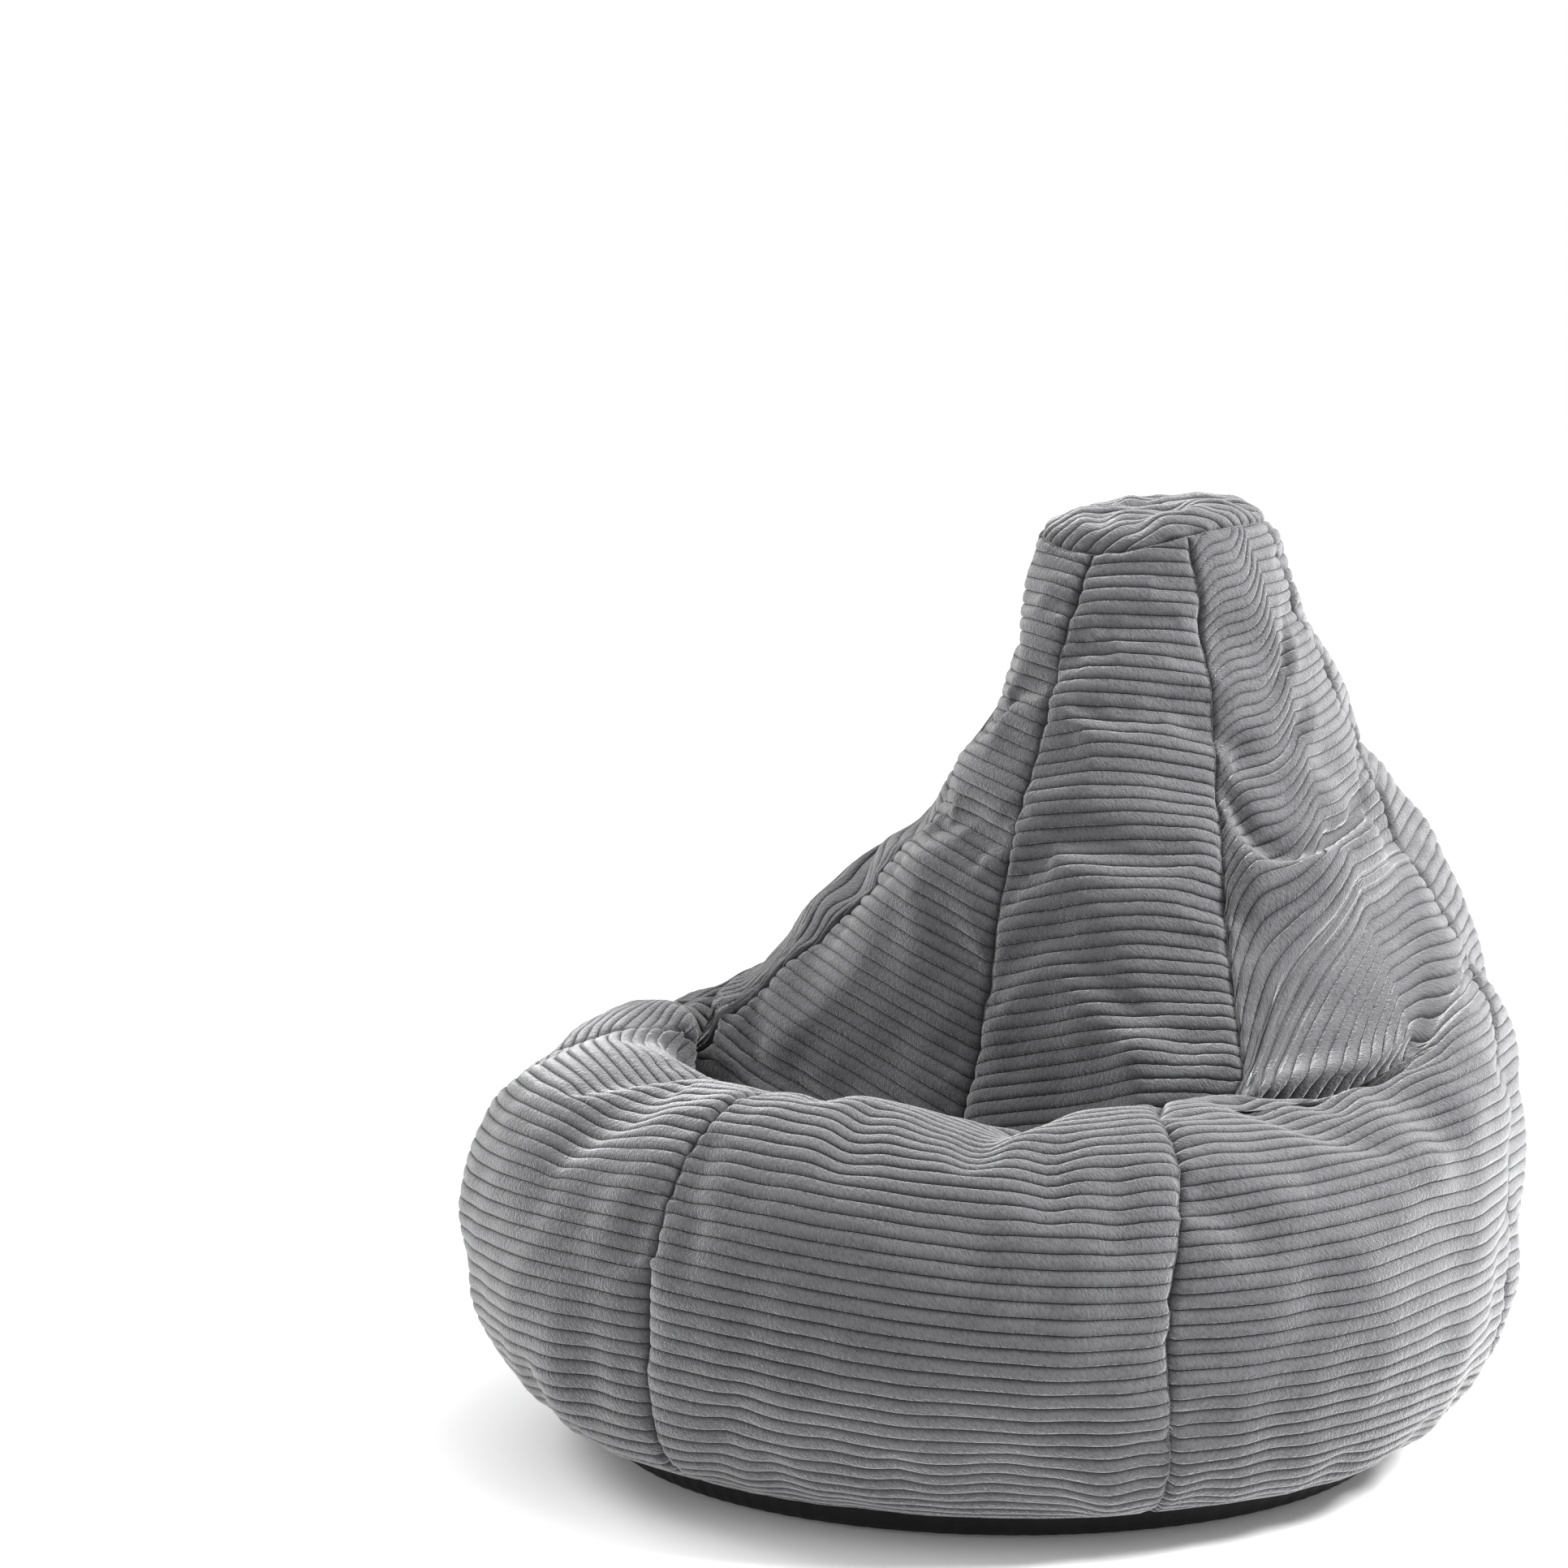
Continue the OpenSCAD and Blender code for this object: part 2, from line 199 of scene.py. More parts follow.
def cubic(f):
    """Catmull-Rom weights for the four samples around a place f between the middle two."""
    return (((-f + 2) * f - 1) * f / 2, ((3 * f - 5) * f * f + 2) / 2,
            ((-3 * f + 4) * f + 1) * f / 2, (f - 1) * f * f / 2)


class Field:
    """Values on a grid of heights and angles, read smoothly anywhere between."""

    def __init__(self, values):
        self.values = values
        self.rows, self.cols = values.shape[:2]

    def __call__(self, u, degrees):
        r = np.clip(u, 0, 1) * (self.rows - 1)
        c = (np.asarray(degrees) / 360 % 1) * self.cols
        i = np.clip(np.floor(r).astype(int), 0, self.rows - 2)
        j = np.floor(c).astype(int)
        wr, wc = cubic(r - i), cubic(c - j)
        total = 0
        for a in range(4):
            ia = np.clip(i + a - 1, 0, self.rows - 1)
            line = 0
            for b in range(4):
                line = line + wc[b][..., None] * self.values[ia, (j + b - 1) % self.cols]
            total = total + wr[a][..., None] * line
        return total


def grid_normals(p):
    """Outward normals of a grid that is closed round its second axis."""
    across = np.roll(p, -1, 1) - np.roll(p, 1, 1)
    up = np.gradient(p, axis=0)
    return unit(np.cross(across, up))


def add_object(name, data):
    """New object in the scene."""
    thing = bpy.data.objects.new(name, data)
    scene.collection.objects.link(thing)
    return thing


def grid_faces(rows, cols, around=False):
    """Quads of a grid of points, facing outwards when the rows go up and the columns go right."""
    i, j = np.meshgrid(np.arange(rows - 1), np.arange(cols if around else cols - 1), indexing="ij")
    a = (i * cols + j).ravel()
    b = (i * cols + (j + 1) % cols).ravel()
    return np.stack([a, b, b + cols, a + cols], 1)


def strip(line, count):
    """Quads between a line of point numbers and the same line in a copy, count numbers later."""
    return np.stack([line[:-1], line[1:], line[1:] + count, line[:-1] + count], 1)


# ---------- where the ribs run

# The crease between the lip or arms and the backrest: its height parameter at angles from the front. It
# ends in a dimple on each side.
CREASE_AT = [0, 45, 60, 70, 80, 90, 100]
CREASE_U = [0.652, 0.643, 0.612, 0.562, 0.530, 0.482, 0.440]
CREASE_ROW = 0.6      # the same crease in rows, where it is level all round
DIMPLE_AT = 95        # angle at which it ends
RIB_CENTRE = (146, 143)    # of the arcs that the ribs above it make: behind and below the dimple
RIB_STEEP = 1.22      # cloth per height on the sloping side of the backrest
RIB_RISE = 0.15       # of the ribs behind the dimple, towards the back
RIB_BEND = 8.0        # softness of the bend between the two


def row_height(row, degrees):
    """Height parameter of a row from 0 to 1, such that the crease lies at CREASE_ROW."""
    crease = np.interp(turned(degrees), CREASE_AT, CREASE_U)
    above = crease + (row - CREASE_ROW) / (1 - CREASE_ROW) * (1 - crease)
    return np.where(row < CREASE_ROW, row / CREASE_ROW * crease, above)


def rows_of(first, rows, cols):
    """Points of one panel on a grid of rows and angles."""
    row = np.linspace(rows[0], rows[1], rows[2])
    degrees = first + np.linspace(0, 60, cols)
    return cover_grid(row_height(row[:, None], degrees[None, :]), degrees)


def flatten(p, rounds=60):
    """Flat pattern of a piece of surface: the same grid laid flat with as little stretch as possible, its
    middle line along the second axis."""
    rows, cols = p.shape[:2]
    mid = cols // 2
    lengths = lengths_along(p[:, mid])
    side = lengths_along(p, 1)
    side -= side[:, mid:mid + 1]
    flat = np.stack([side, np.repeat(lengths[:, None], cols, 1)], -1).reshape(-1, 2)
    n = np.arange(rows * cols).reshape(rows, cols)
    a, b, c, d = n[:-1, :-1].ravel(), n[:-1, 1:].ravel(), n[1:, 1:].ravel(), n[1:, :-1].ravel()
    tri = np.concatenate([np.stack(t, 1) for t in ((a, b, c), (a, c, d), (a, b, d), (b, c, d))])
    q = p.reshape(-1, 3)
    e1, e2 = q[tri[:, 1]] - q[tri[:, 0]], q[tri[:, 2]] - q[tri[:, 0]]
    base = np.linalg.norm(e1, axis=1)
    local = np.zeros((len(tri), 3, 2))
    local[:, 1, 0] = base
    local[:, 2, 0] = (e1 * e2).sum(1) / base
    local[:, 2, 1] = np.linalg.norm(np.cross(e1, e2), axis=1) / base
    matrix = np.zeros((rows * cols, rows * cols))
    matrix[0, 0] = 1
    edges = []
    for k in range(3):
        i, j = tri[:, (k + 1) % 3], tri[:, (k + 2) % 3]
        arm, other = local[:, (k + 1) % 3] - local[:, k], local[:, (k + 2) % 3] - local[:, k]
        area = np.abs(arm[:, 0] * other[:, 1] - arm[:, 1] * other[:, 0])
        cot = np.clip((arm * other).sum(1) / np.maximum(area, 1e-9), 0.05, 20)
        edges.append((i, j, cot, local[:, (k + 1) % 3] - local[:, (k + 2) % 3]))
        for s, t, w in ((i, i, cot), (j, j, cot), (i, j, -cot), (j, i, -cot)):
            np.add.at(matrix, (s, t), w)
    inverse = np.linalg.inv(matrix)
    for _ in range(rounds):
        spin = np.zeros((len(tri), 2))
        for i, j, cot, edge in edges:
            now = flat[i] - flat[j]
            spin[:, 0] += cot * (now * edge).sum(1)
            spin[:, 1] += cot * (now[:, 1] * edge[:, 0] - now[:, 0] * edge[:, 1])
        cos, sin = unit(spin).T
        target = np.zeros((rows * cols, 2))
        for i, j, cot, edge in edges:
            spun = np.stack([cos * edge[:, 0] - sin * edge[:, 1], sin * edge[:, 0] + cos * edge[:, 1]], 1)
            pull = cot[:, None] * spun
            np.add.at(target, i, pull)
            np.add.at(target, j, -pull)
        flat = inverse @ target
    flat = flat.reshape(rows, cols, 2)
    axis = unit(flat[-1].mean(0) - flat[0].mean(0))
    flat = flat - flat[0].mean(0)
    return np.stack([flat @ np.array([axis[1], -axis[0]]), flat @ axis], -1)


CUT = int(round(CREASE_ROW * 120))    # row of the crease in the rib layout's grid of 121 rows


def finer(v):
    """The values at 13 angles, read at 25."""
    return np.stack([np.interp(np.linspace(0, 12, 25), np.arange(13), line) for line in v])


def front_ribs(first):
    """Rib layout of a front panel below and above the crease: ribs are the level lines. Below the crease
    they run level round the belly, above it they lie as in the panel's flat pattern."""
    below = lengths_along(rows_of(first, (0, CREASE_ROW, CUT + 1), 25))
    above = flatten(rows_of(first, (CREASE_ROW, 1, 121 - CUT), 13))[..., 1]
    return below, finer(above) + 3 * PITCH


def back_ribs(first):
    """Rib layout of a rear panel: level at the bottom, as in its flat pattern higher up."""
    p = rows_of(first, (0, 1, 121), 13)
    share = smooth((np.linspace(0, 1, 121)[:, None] - 0.15) / 0.4)
    return finer(lengths_along(p) * (1 - share) + share * (flatten(p)[..., 1] + 8))


def side_ribs(first):
    """Rib layout of a side panel below the height of the crease and above it, the level at the dimple where
    the crease ends, and the levels along the crease on its upper and lower side. The ribs in front of the
    dimple are arcs round a centre behind it and below, the others rise a little towards the back."""
    order = slice(None, None, -1 if turned(first) > 90 else 1)
    p = rows_of(first, (0, 1, 121), 25)[:, order]
    degrees = np.linspace(60, 120, 25)
    at_dimple = lambda values: np.array([np.interp(DIMPLE_AT, degrees, line) for line in values])
    free = degrees < DIMPLE_AT
    length = lengths_along(p)
    dimple = at_dimple(length)
    level = round(dimple[CUT] / PITCH) * PITCH
    length *= level / dimple[CUT]
    along_row = lengths_along(p[..., :2], 1)
    x = along_row - at_dimple(along_row)[:, None]
    crease_z = np.where(free, p[CUT, :, 2], at_dimple(p[CUT:CUT + 1, :, 2]))
    y = RIB_STEEP * (p[..., 2] - crease_z)
    back, down = RIB_CENTRE
    arcs = np.hypot(x - back, y + down) - math.hypot(back, down)
    rising = y - RIB_RISE * x
    v = level + RIB_BEND * np.logaddexp(arcs / RIB_BEND, rising / RIB_BEND)
    v[CUT] = np.where(free, np.maximum(v[CUT], level + 0.02 * np.arange(25)[::-1]), v[CUT])
    row = np.arange(CUT)[:, None]
    below = length[:CUT + 1].copy()
    below[:, ~free] += (v[CUT, ~free] - below[-1, ~free]) * (np.arange(CUT + 1)[:, None] / CUT) ** 2
    starts = np.where(free, v[CUT], level)
    ends = np.where(free, below[-1], level)
    v[:CUT] = np.where(free, v[CUT] - (CUT - row), below[:CUT])
    above = np.maximum.accumulate(v, axis=0)
    return below[:, order], above[:, order], level, starts[order], ends[order]


# ---------- shape of the soft surface

# Folds that weight and use have left: where each starts and ends (angle, height parameter), its width and
# height in mm. The cloth rises to the fold from below and drops behind it.
FOLDS = [
    (58, 0.863, 117, 0.645, 30, 13), (-60, 0.78, -110, 0.68, 34, 8),
    (4, 0.845, 58, 0.835, 26, 6), (8, 0.775, 56, 0.745, 30, 5), (-6, 0.83, -52, 0.80, 28, 5),
    (64, 0.86, 108, 0.82, 28, 7), (66, 0.905, 112, 0.89, 22, 5), (-66, 0.88, -112, 0.85, 26, 5),
    (10, 0.905, 50, 0.915, 18, 4), (-10, 0.90, -50, 0.905, 18, 3.5),
    (130, 0.70, 176, 0.66, 40, 6), (-128, 0.62, -170, 0.66, 44, 6), (150, 0.84, 205, 0.86, 30, 5),
    (-10, 0.505, -58, 0.50, 16, 4), (10, 0.515, 50, 0.53, 15, 4), (-25, 0.54, -70, 0.49, 15, 5),
    (0, 0.56, 40, 0.575, 14, 4), (-4, 0.575, -44, 0.565, 14, 4), (62, 0.485, 86, 0.475, 14, 4)]
CLOTH_LENGTH = 1100   # of a panel from base to cap

broad = Waves(30, 140, 420)
small = Waves(40, 45, 120)
waver = Waves(24, 60, 160)
pinch = Waves(30, 14, 40)


def fold_relief(u, degrees):
    """Height of the folds over the smooth surface."""
    angle = (degrees + 180) % 360 - 180
    total = np.zeros(np.broadcast(u, degrees).shape)
    for a0, u0, a1, u1, width, height in FOLDS:
        t = ((degrees % 360 if a1 > 180 else angle) - a0) / (a1 - a0)
        d = (u - (u0 + (u1 - u0) * t) - 0.012 * np.sin(3 * t + a0)) * CLOTH_LENGTH / width
        ends = smooth(t * 4) * smooth((1 - t) * 4)
        below = np.exp(-np.clip(-d, 0, None) ** 2)
        above = np.exp(-np.clip(d, 0, None) ** 2 * 6)
        dent = 0.55 * np.exp(-((d - 0.75) / 0.35) ** 2)
        total += ends * height * (np.where(d < 0, below, above) - dent)
    return total


def crease_share(degrees):
    """1 where the seat's crease is deep, 0 beyond the dimples at its ends."""
    return 1 - smooth((turned(degrees) - DIMPLE_AT + 10) / 12)


GRID_UP, GRID_ROUND = 220, 288
FAR = 1000            # mm, longer than any distance that matters
grid_rows = np.linspace(0, 1, GRID_UP)
grid_a = np.arange(GRID_ROUND) * 360 / GRID_ROUND
grid_u = row_height(grid_rows[:, None], grid_a[None, :])


def soft_grid():
    """The bag's surface on the grid of rows and angles, with its folds, crease and unevenness."""
    p = cover_grid(grid_u, grid_a)
    n = grid_normals(p)
    lengths = lengths_along(p)
    crease = np.array([np.interp(CREASE_ROW, grid_rows, line) for line in lengths.T])
    gap = lengths - crease[None, :]
    free = smooth(np.minimum(lengths, lengths[-1] - lengths) / 60)
    relief = fold_relief(grid_u, np.broadcast_to(grid_a[None, :], grid_u.shape)) * free
    relief += (BROAD_H * broad(p) + SMALL_H * small(p)) * free
    share = crease_share(grid_a)[None, :]
    away = turned(grid_a)[None, :]
    at_seam = 1 - 0.4 * np.exp(-((away - 60) / 5) ** 2)
    relief -= CREASE_DEPTH * at_seam * share * np.exp(-(gap / CREASE_WIDTH) ** 2)
    arm = 1 + 0.8 * smooth((away - 55) / 15)
    roll_at, roll_width = 2.6 * CREASE_WIDTH, 1.3 * CREASE_WIDTH
    relief += ROLL * arm * share * np.exp(-((gap - roll_at) / roll_width) ** 2)
    relief += ROLL * share * np.exp(-((gap + roll_at) / roll_width) ** 2)
    p = p + n * relief[..., None]
    p[..., 2] -= SAG * np.exp(-(lengths / 80) ** 2)
    return p, np.abs(gap) + FAR * (1 - share)


def settled(points, gap):
    """How far cloth moves that is a little too large for this surface, held at its seams, its crease and
    both ends, and blown up by the filling."""
    part = points[::2, ::2]
    rows, cols = part.shape[:2]
    mesh = bpy.data.meshes.new("settling")
    mesh.from_pydata((part.reshape(-1, 3) * MM).tolist(), [], grid_faces(rows, cols, True).tolist())
    cloth = add_object("settling", mesh)
    hold = np.zeros((rows, cols))
    hold[:, ::cols // 6] = SEAM_HOLD
    hold[:2] = 1
    hold[-2:] = 1
    hold[gap[::2, ::2] < CREASE_HOLD] = 1
    pins = cloth.vertex_groups.new(name="pins")
    for weight in (SEAM_HOLD, 1.0):
        pins.add(np.flatnonzero(hold.ravel() == weight).tolist(), weight, "REPLACE")
    modifier = cloth.modifiers.new("cloth", "CLOTH")
    settings = modifier.settings
    settings.vertex_group_mass = "pins"
    settings.mass = 0.3
    settings.tension_stiffness = settings.compression_stiffness = 25
    settings.bending_stiffness = 4
    settings.use_pressure = True
    settings.uniform_pressure_force = 4
    settings.shrink_min = -0.02
    settings.effector_weights.gravity = 0
    modifier.point_cache.frame_start = 1
    modifier.point_cache.frame_end = SETTLING_FRAMES
    for number in range(1, SETTLING_FRAMES + 1):
        scene.frame_set(number)
    shape = cloth.evaluated_get(bpy.context.evaluated_depsgraph_get())
    moved = np.zeros(rows * cols * 3)
    shape.data.vertices.foreach_get("co", moved)
    moved = moved.reshape(rows, cols, 3) / MM - part
    bpy.data.objects.remove(cloth)
    bpy.data.meshes.remove(mesh)
    scene.frame_set(1)
    size = np.linalg.norm(moved, axis=-1, keepdims=True)
    moved *= np.minimum(1, MOST_MOVED / np.maximum(size, 1e-6))
    moved *= smooth(np.linspace(0, 1, rows) / 0.2)[:, None, None]
    field = Field(moved)
    row = np.arange(points.shape[0]) / 2 / (rows - 1)
    return field(np.minimum(row, 1)[:, None] + np.zeros((1, points.shape[1])),
                 grid_a[None, :] + np.zeros((points.shape[0], 1)))


soft_points, crease_gap = soft_grid()
soft_points = soft_points + settled(soft_points, crease_gap)
place = Field(soft_points)
normal = Field(grid_normals(soft_points))
gap_field = Field(crease_gap[..., None])

# ---------- mesh making


def make_piece(name, points, faces, material, attributes=None, flat=False):
    """New mesh object; points in mm."""
    mesh = bpy.data.meshes.new(name)
    mesh.from_pydata((np.asarray(points) * MM).tolist(), [], [list(map(int, f)) for f in faces])
    for key, values in (attributes or {}).items():
        layer = mesh.attributes.new(key, "FLOAT", "POINT")
        layer.data.foreach_set("value", np.asarray(values, np.float32).ravel())
    mesh.validate()
    if not flat:
        mesh.shade_smooth()
    mesh.materials.append(material)
    return add_object(name, mesh)


def joined(parts):
    """Points and faces of several parts as one."""
    points, faces, count = [], [], 0
    for p, f in parts:
        points.append(np.asarray(p).reshape(-1, 3))
        faces += [tuple(int(k) + count for k in face) for face in f]
        count += len(points[-1])
    return np.concatenate(points), faces


def proper(points, faces, least=0.02):
    """The faces without those that have shrunk to a line or a point."""
    p = points[faces]
    area = np.linalg.norm(np.cross(p[:, 2] - p[:, 0], p[:, 3] - p[:, 1]), axis=1)
    return faces[area > least]


# Places of the mesh rows across one rib, from its middle, and of the mesh columns beside a seam in mm.
RIB_STEPS = np.array([-0.5, -0.46, -0.37, -0.23, -0.08, 0.08, 0.23, 0.37, 0.46])
EDGE_COLUMNS = np.array([0.0, 0.8, 2.0, 3.6, 6.0, 9.5, 15.0])
MIDDLE_COLUMNS = 46
COLUMNS = 241         # places across a panel where the ribs' courses are worked out
CAP_COLUMNS = 30
CAP_EDGE = 720        # points round the cap's edge


def columns_across(width, middle):
    """Places of the mesh columns across rows of these widths, from 0 to 1, closer together at the seams."""
    near = np.minimum(EDGE_COLUMNS / np.maximum(width, 1), 0.3 * EDGE_COLUMNS / EDGE_COLUMNS[-1])
    inner = near[:, -1:] + (1 - 2 * near[:, -1:]) * np.linspace(0, 1, middle + 2)[None, 1:-1]
    return np.concatenate([near, inner, 1 - near[:, ::-1]], 1)


def seam_depth(p):
    """Depth of the seams' grooves under the smooth surface: the sewing puckers the cloth."""
    return SEAM_DIP * (1 + 0.35 * pinch(p))


def ribbed(p, n, levels, t, width, edge, fade, uneven, hem):
    """The smooth surface p with ribs on it, sunk along its edge and turned inwards there by the hem, and the
    attributes that the pile's material reads. A rib has a broad round top and steep narrow grooves."""
    phase = levels / PITCH % 1 - 0.5
    shape = np.sqrt(np.clip(1 - np.abs(2 * phase) ** 2.6, 0, 1))[:, None]
    height = RIB_H * (1 + uneven * waver(p)) * shape * fade
    dip = seam_depth(p) * (1 - smooth(edge / SEAM_REACH)) ** 2
    out = p + n * (height - GROOVE - dip)[..., None]
    out = np.concatenate([out[:, :1] - hem[:, :1], out, out[:, -1:] - hem[:, -1:]], 1)
    # rib and edge also steer the pile's painted shade, in the grooves and along the seams.
    values = {"rib": shape * fade, "edge": np.clip(edge / SEAM_REACH, 0, 1),
              "across": (t - 0.5) * width, "length": np.repeat(levels[:, None], t.shape[1], 1)}
    return out, {key: np.concatenate([v[:, :1], v, v[:, -1:]], 1) for key, v in values.items()}


def levels_between(low, high):
    """Levels of the mesh rows from low to high, a few to each rib."""
    ribs = np.arange(math.floor(low / PITCH) - 1, math.ceil(high / PITCH) + 1)
    levels = (ribs[:, None] + 0.5 + RIB_STEPS[None, :]).ravel() * PITCH
    inside = levels[(levels > low + 0.3) & (levels < high - 0.3)]
    return np.concatenate([[low], inside, [high]])


def sheet(first, rows, v, span, edge_v=None, upper=True, open_low=False, open_high=False):
    """Mesh grid of one panel between two rows of the layout, along the ribs' level lines within the span.
    With edge_v the ribs start at the crease where they reach its level, on its upper or its lower side."""
    levels = levels_between(*span)
    row_at = np.linspace(rows[0], rows[1], len(v))
    fine_row = np.linspace(rows[0], rows[1], 8 * len(v))
    fine_column = np.linspace(0, 60, COLUMNS)
    x = np.linspace(0, v.shape[1] - 1, COLUMNS)
    j = np.clip(np.floor(x).astype(int), 0, v.shape[1] - 2)
    v = sum(w * v[:, np.clip(j + k - 1, 0, v.shape[1] - 1)] for k, w in enumerate(cubic(x - j)))
    v = np.stack([np.interp(fine_row, row_at, column) for column in v.T], 1)
    crossing = np.stack([np.interp(levels, column, fine_row) for column in v.T], 1)
    start = np.zeros(len(levels))
    end = np.full(len(levels), 60.0)
    if edge_v is not None:
        edge_v = np.interp(x, np.arange(len(edge_v)), edge_v)
        reached = (edge_v <= levels[:, None]) if upper else (edge_v >= levels[:, None])
        columns = fine_column
        if edge_v[0] > edge_v[-1]:
            edge_v, columns = edge_v[::-1], columns[::-1]
        cut_at = np.interp(levels, edge_v + np.arange(COLUMNS) * 1e-9, columns)
        end = np.where(reached[:, 0] & ~reached[:, -1], cut_at, end)
        start = np.where(reached[:, -1] & ~reached[:, 0], cut_at, start)

    def on_surface(column):
        place_in = column / 60 * (COLUMNS - 1)
        j = np.clip(np.floor(place_in).astype(int), 0, COLUMNS - 2)
        row = np.arange(len(levels))[:, None]
        f = place_in - j
        at = (1 - f) * crossing[row, j] + f * crossing[row, j + 1]
        return at, first + column

    t = np.linspace(0, 1, COLUMNS)[None, :]
    column = start[:, None] + (end - start)[:, None] * t
    p = place(*on_surface(column))
    run = lengths_along(p, 1)
    width = run[:, -1:]
    t = columns_across(width, MIDDLE_COLUMNS)
    column = np.stack([np.interp(t[i] * width[i, 0], run[i], column[i]) for i in range(len(levels))])
    at, degrees = on_surface(column)
    p = place(at, degrees)
    n = unit(normal(at, degrees))
    left_gap = np.where(start[:, None] > 0.01, 100, t * width)
    right_gap = np.where(end[:, None] < 59.99, 100, (1 - t) * width)
    edge = np.minimum(left_gap, right_gap)
    foot, head = (np.array([np.interp(line, fine_column, rim) for line in column]) for rim in (v[0], v[-1]))
    if open_low:
        edge = np.minimum(edge, levels[:, None] - foot)
    if open_high:
        edge = np.minimum(edge, head - levels[:, None])
    edge = np.clip(edge, 0, None)
    fade = np.sqrt(smooth(edge / RIB_END)) * np.sqrt(smooth(gap_field(at, degrees)[..., 0] / 7))
    return ribbed(p, n, levels, t, width, edge, fade, 0.10, n * FLANGE)


def corduroy_panel(name, first, material):
    """One pear-shaped panel, meshed along its ribs in one or more sheets."""
    middle = turned(first + 30)
    if middle > 120:
        v = back_ribs(first)
        sheets = [sheet(first, (0, 1), v, (v[0].min(), v[-1].max()), open_low=True, open_high=True)]
    elif middle < 60:
        below, above = front_ribs(first)
        sheets = [sheet(first, (0, CREASE_ROW), below, (0, below[-1].max()), open_low=True),
                  sheet(first, (CREASE_ROW, 1), above, (above[0].min(), above[-1].max()), open_high=True)]
    else:
        below, above, level, starts, ends = side_ribs(first)
        sheets = [sheet(first, (0, CREASE_ROW), below, (0, level), open_low=True),
                  sheet(first, (0, 1), above, (level, above[-1].max()), starts, open_high=True),
                  sheet(first, (0, CREASE_ROW), below, (level, ends.max()), ends, upper=False)]
    parts = [(out, proper(out.reshape(-1, 3), grid_faces(*out.shape[:2]))) for out, _ in sheets]
    attributes = {key: np.concatenate([values[key].ravel() for _, values in sheets])
                  for key in sheets[0][1]}
    return make_piece(name, *joined(parts), material, attributes)


# ---------- materials


class Nodes:
    """Shorthand for building one material's node tree."""

    def __init__(self, name, **settings):
        self.material = bpy.data.materials.new(name)
        self.material.use_nodes = True
        self.tree = self.material.node_tree
        self.shader = self.tree.nodes["Principled BSDF"]
        for key, value in settings.items():
            self.shader.inputs[key.replace("_", " ")].default_value = value

    def feed(self, node, values):
        """Sets inputs, by name or number, to values or links them to other nodes' sockets."""
        for key, value in values:
            if isinstance(value, bpy.types.NodeSocket):
                self.tree.links.new(value, node.inputs[key])
            else:
                node.inputs[key].default_value = value
        return node

    def add(self, kind, **inputs):
        return self.feed(self.tree.nodes.new(kind), inputs.items())

    def math(self, operation, *values):
        node = self.tree.nodes.new("ShaderNodeMath")
        node.operation = operation
        return self.feed(node, enumerate(values)).outputs[0]

    def where(self):
        """Place on the object, in metres."""
        return self.tree.nodes.new("ShaderNodeTexCoord").outputs["Object"]

    def attribute(self, name):
        node = self.tree.nodes.new("ShaderNodeAttribute")
        node.attribute_name = name
        return node.outputs["Fac"]

    def vector(self, x, y):
        node = self.tree.nodes.new("ShaderNodeCombineXYZ")
        return self.feed(node, enumerate((x, y))).outputs[0]

    def noise(self, vector, scale, detail=3.0, roughness=0.5):
        node = self.add("ShaderNodeTexNoise", Vector=vector, Scale=scale, Detail=detail, Roughness=roughness)
        return node.outputs["Fac"]

    def ramp(self, fac, *stops):
        node = self.add("ShaderNodeValToRGB", Fac=fac)
        ramp = node.color_ramp
        while len(ramp.elements) < len(stops):
            ramp.elements.new(0.5)
        for element, (position, colour) in zip(ramp.elements, stops):
            element.position = position
            element.color = (*colour, 1)
        return node.outputs["Color"]

    def link(self, socket, name):
        self.tree.links.new(socket, self.shader.inputs[name])

    def bump(self, height, distance, strength=1.0):
        node = self.add("ShaderNodeBump", Height=height, Strength=strength, Distance=distance)
        self.link(node.outputs["Normal"], "Normal")


def corduroy_material():
    """Grey cotton pile: short speckle, hairs brushed one way or the other, painted shade in grooves and
    seams.
    """
    m = Nodes("corduroy", Roughness=0.9, Sheen_Weight=0.85, Sheen_Roughness=0.35, Specular_IOR_Level=0.1)
    rib, edge, across, length = (m.attribute(k) for k in ("rib", "edge", "across", "length"))
    x = m.math("MULTIPLY", across, 0.001)
    y = m.math("MULTIPLY", length, 0.001)
    where = m.vector(x, y)
    # Hairs lie aslant across the rib.
    slant = m.vector(m.math("MULTIPLY_ADD", y, 0.7, x), m.math("MULTIPLY", y, 0.45))
    speckle = m.noise(slant, 620.0, 2.0, 0.65)
    tuft = m.noise(where, 230.0, 3.0, 0.6)
    brushed = m.noise(m.vector(m.math("MULTIPLY", x, 0.6), y), 30.0, 3.0, 0.6)
    tone = m.math("MULTIPLY_ADD", tuft, 1.1, m.math("MULTIPLY", brushed, 0.9))
    tone = m.math("MULTIPLY_ADD", speckle, 2.1, tone)
    tone = m.math("MULTIPLY_ADD", tone, 0.62, -0.78)
    # Painted shade: darker towards the bottom of each groove and where the ribs flatten at seams and the
    # crease.
    groove = m.math("POWER", rib, 1.3)
    dark = m.math("MULTIPLY_ADD", groove, 0.8, 0.2)
    # Painted shade along the seams, where the cloth dips into the seam's groove.
    seam = m.math("MULTIPLY_ADD", m.math("POWER", edge, 0.5), 0.35, 0.65)
    # The pile's own uneven tone times the painted shade of the grooves and seams.
    tone_and_painted_shade = m.math("MULTIPLY", m.math("MULTIPLY", dark, seam), m.math("ADD", tone, 0.45))
    m.link(m.ramp(tone_and_painted_shade, (0.0, (0.006, 0.006, 0.0065)), (1.0, (0.095, 0.095, 0.1005))), "Base Color")
    m.bump(m.math("MULTIPLY_ADD", speckle, 0.7, m.math("MULTIPLY", tuft, 0.6)), 0.0022, 0.9)
    return m.material


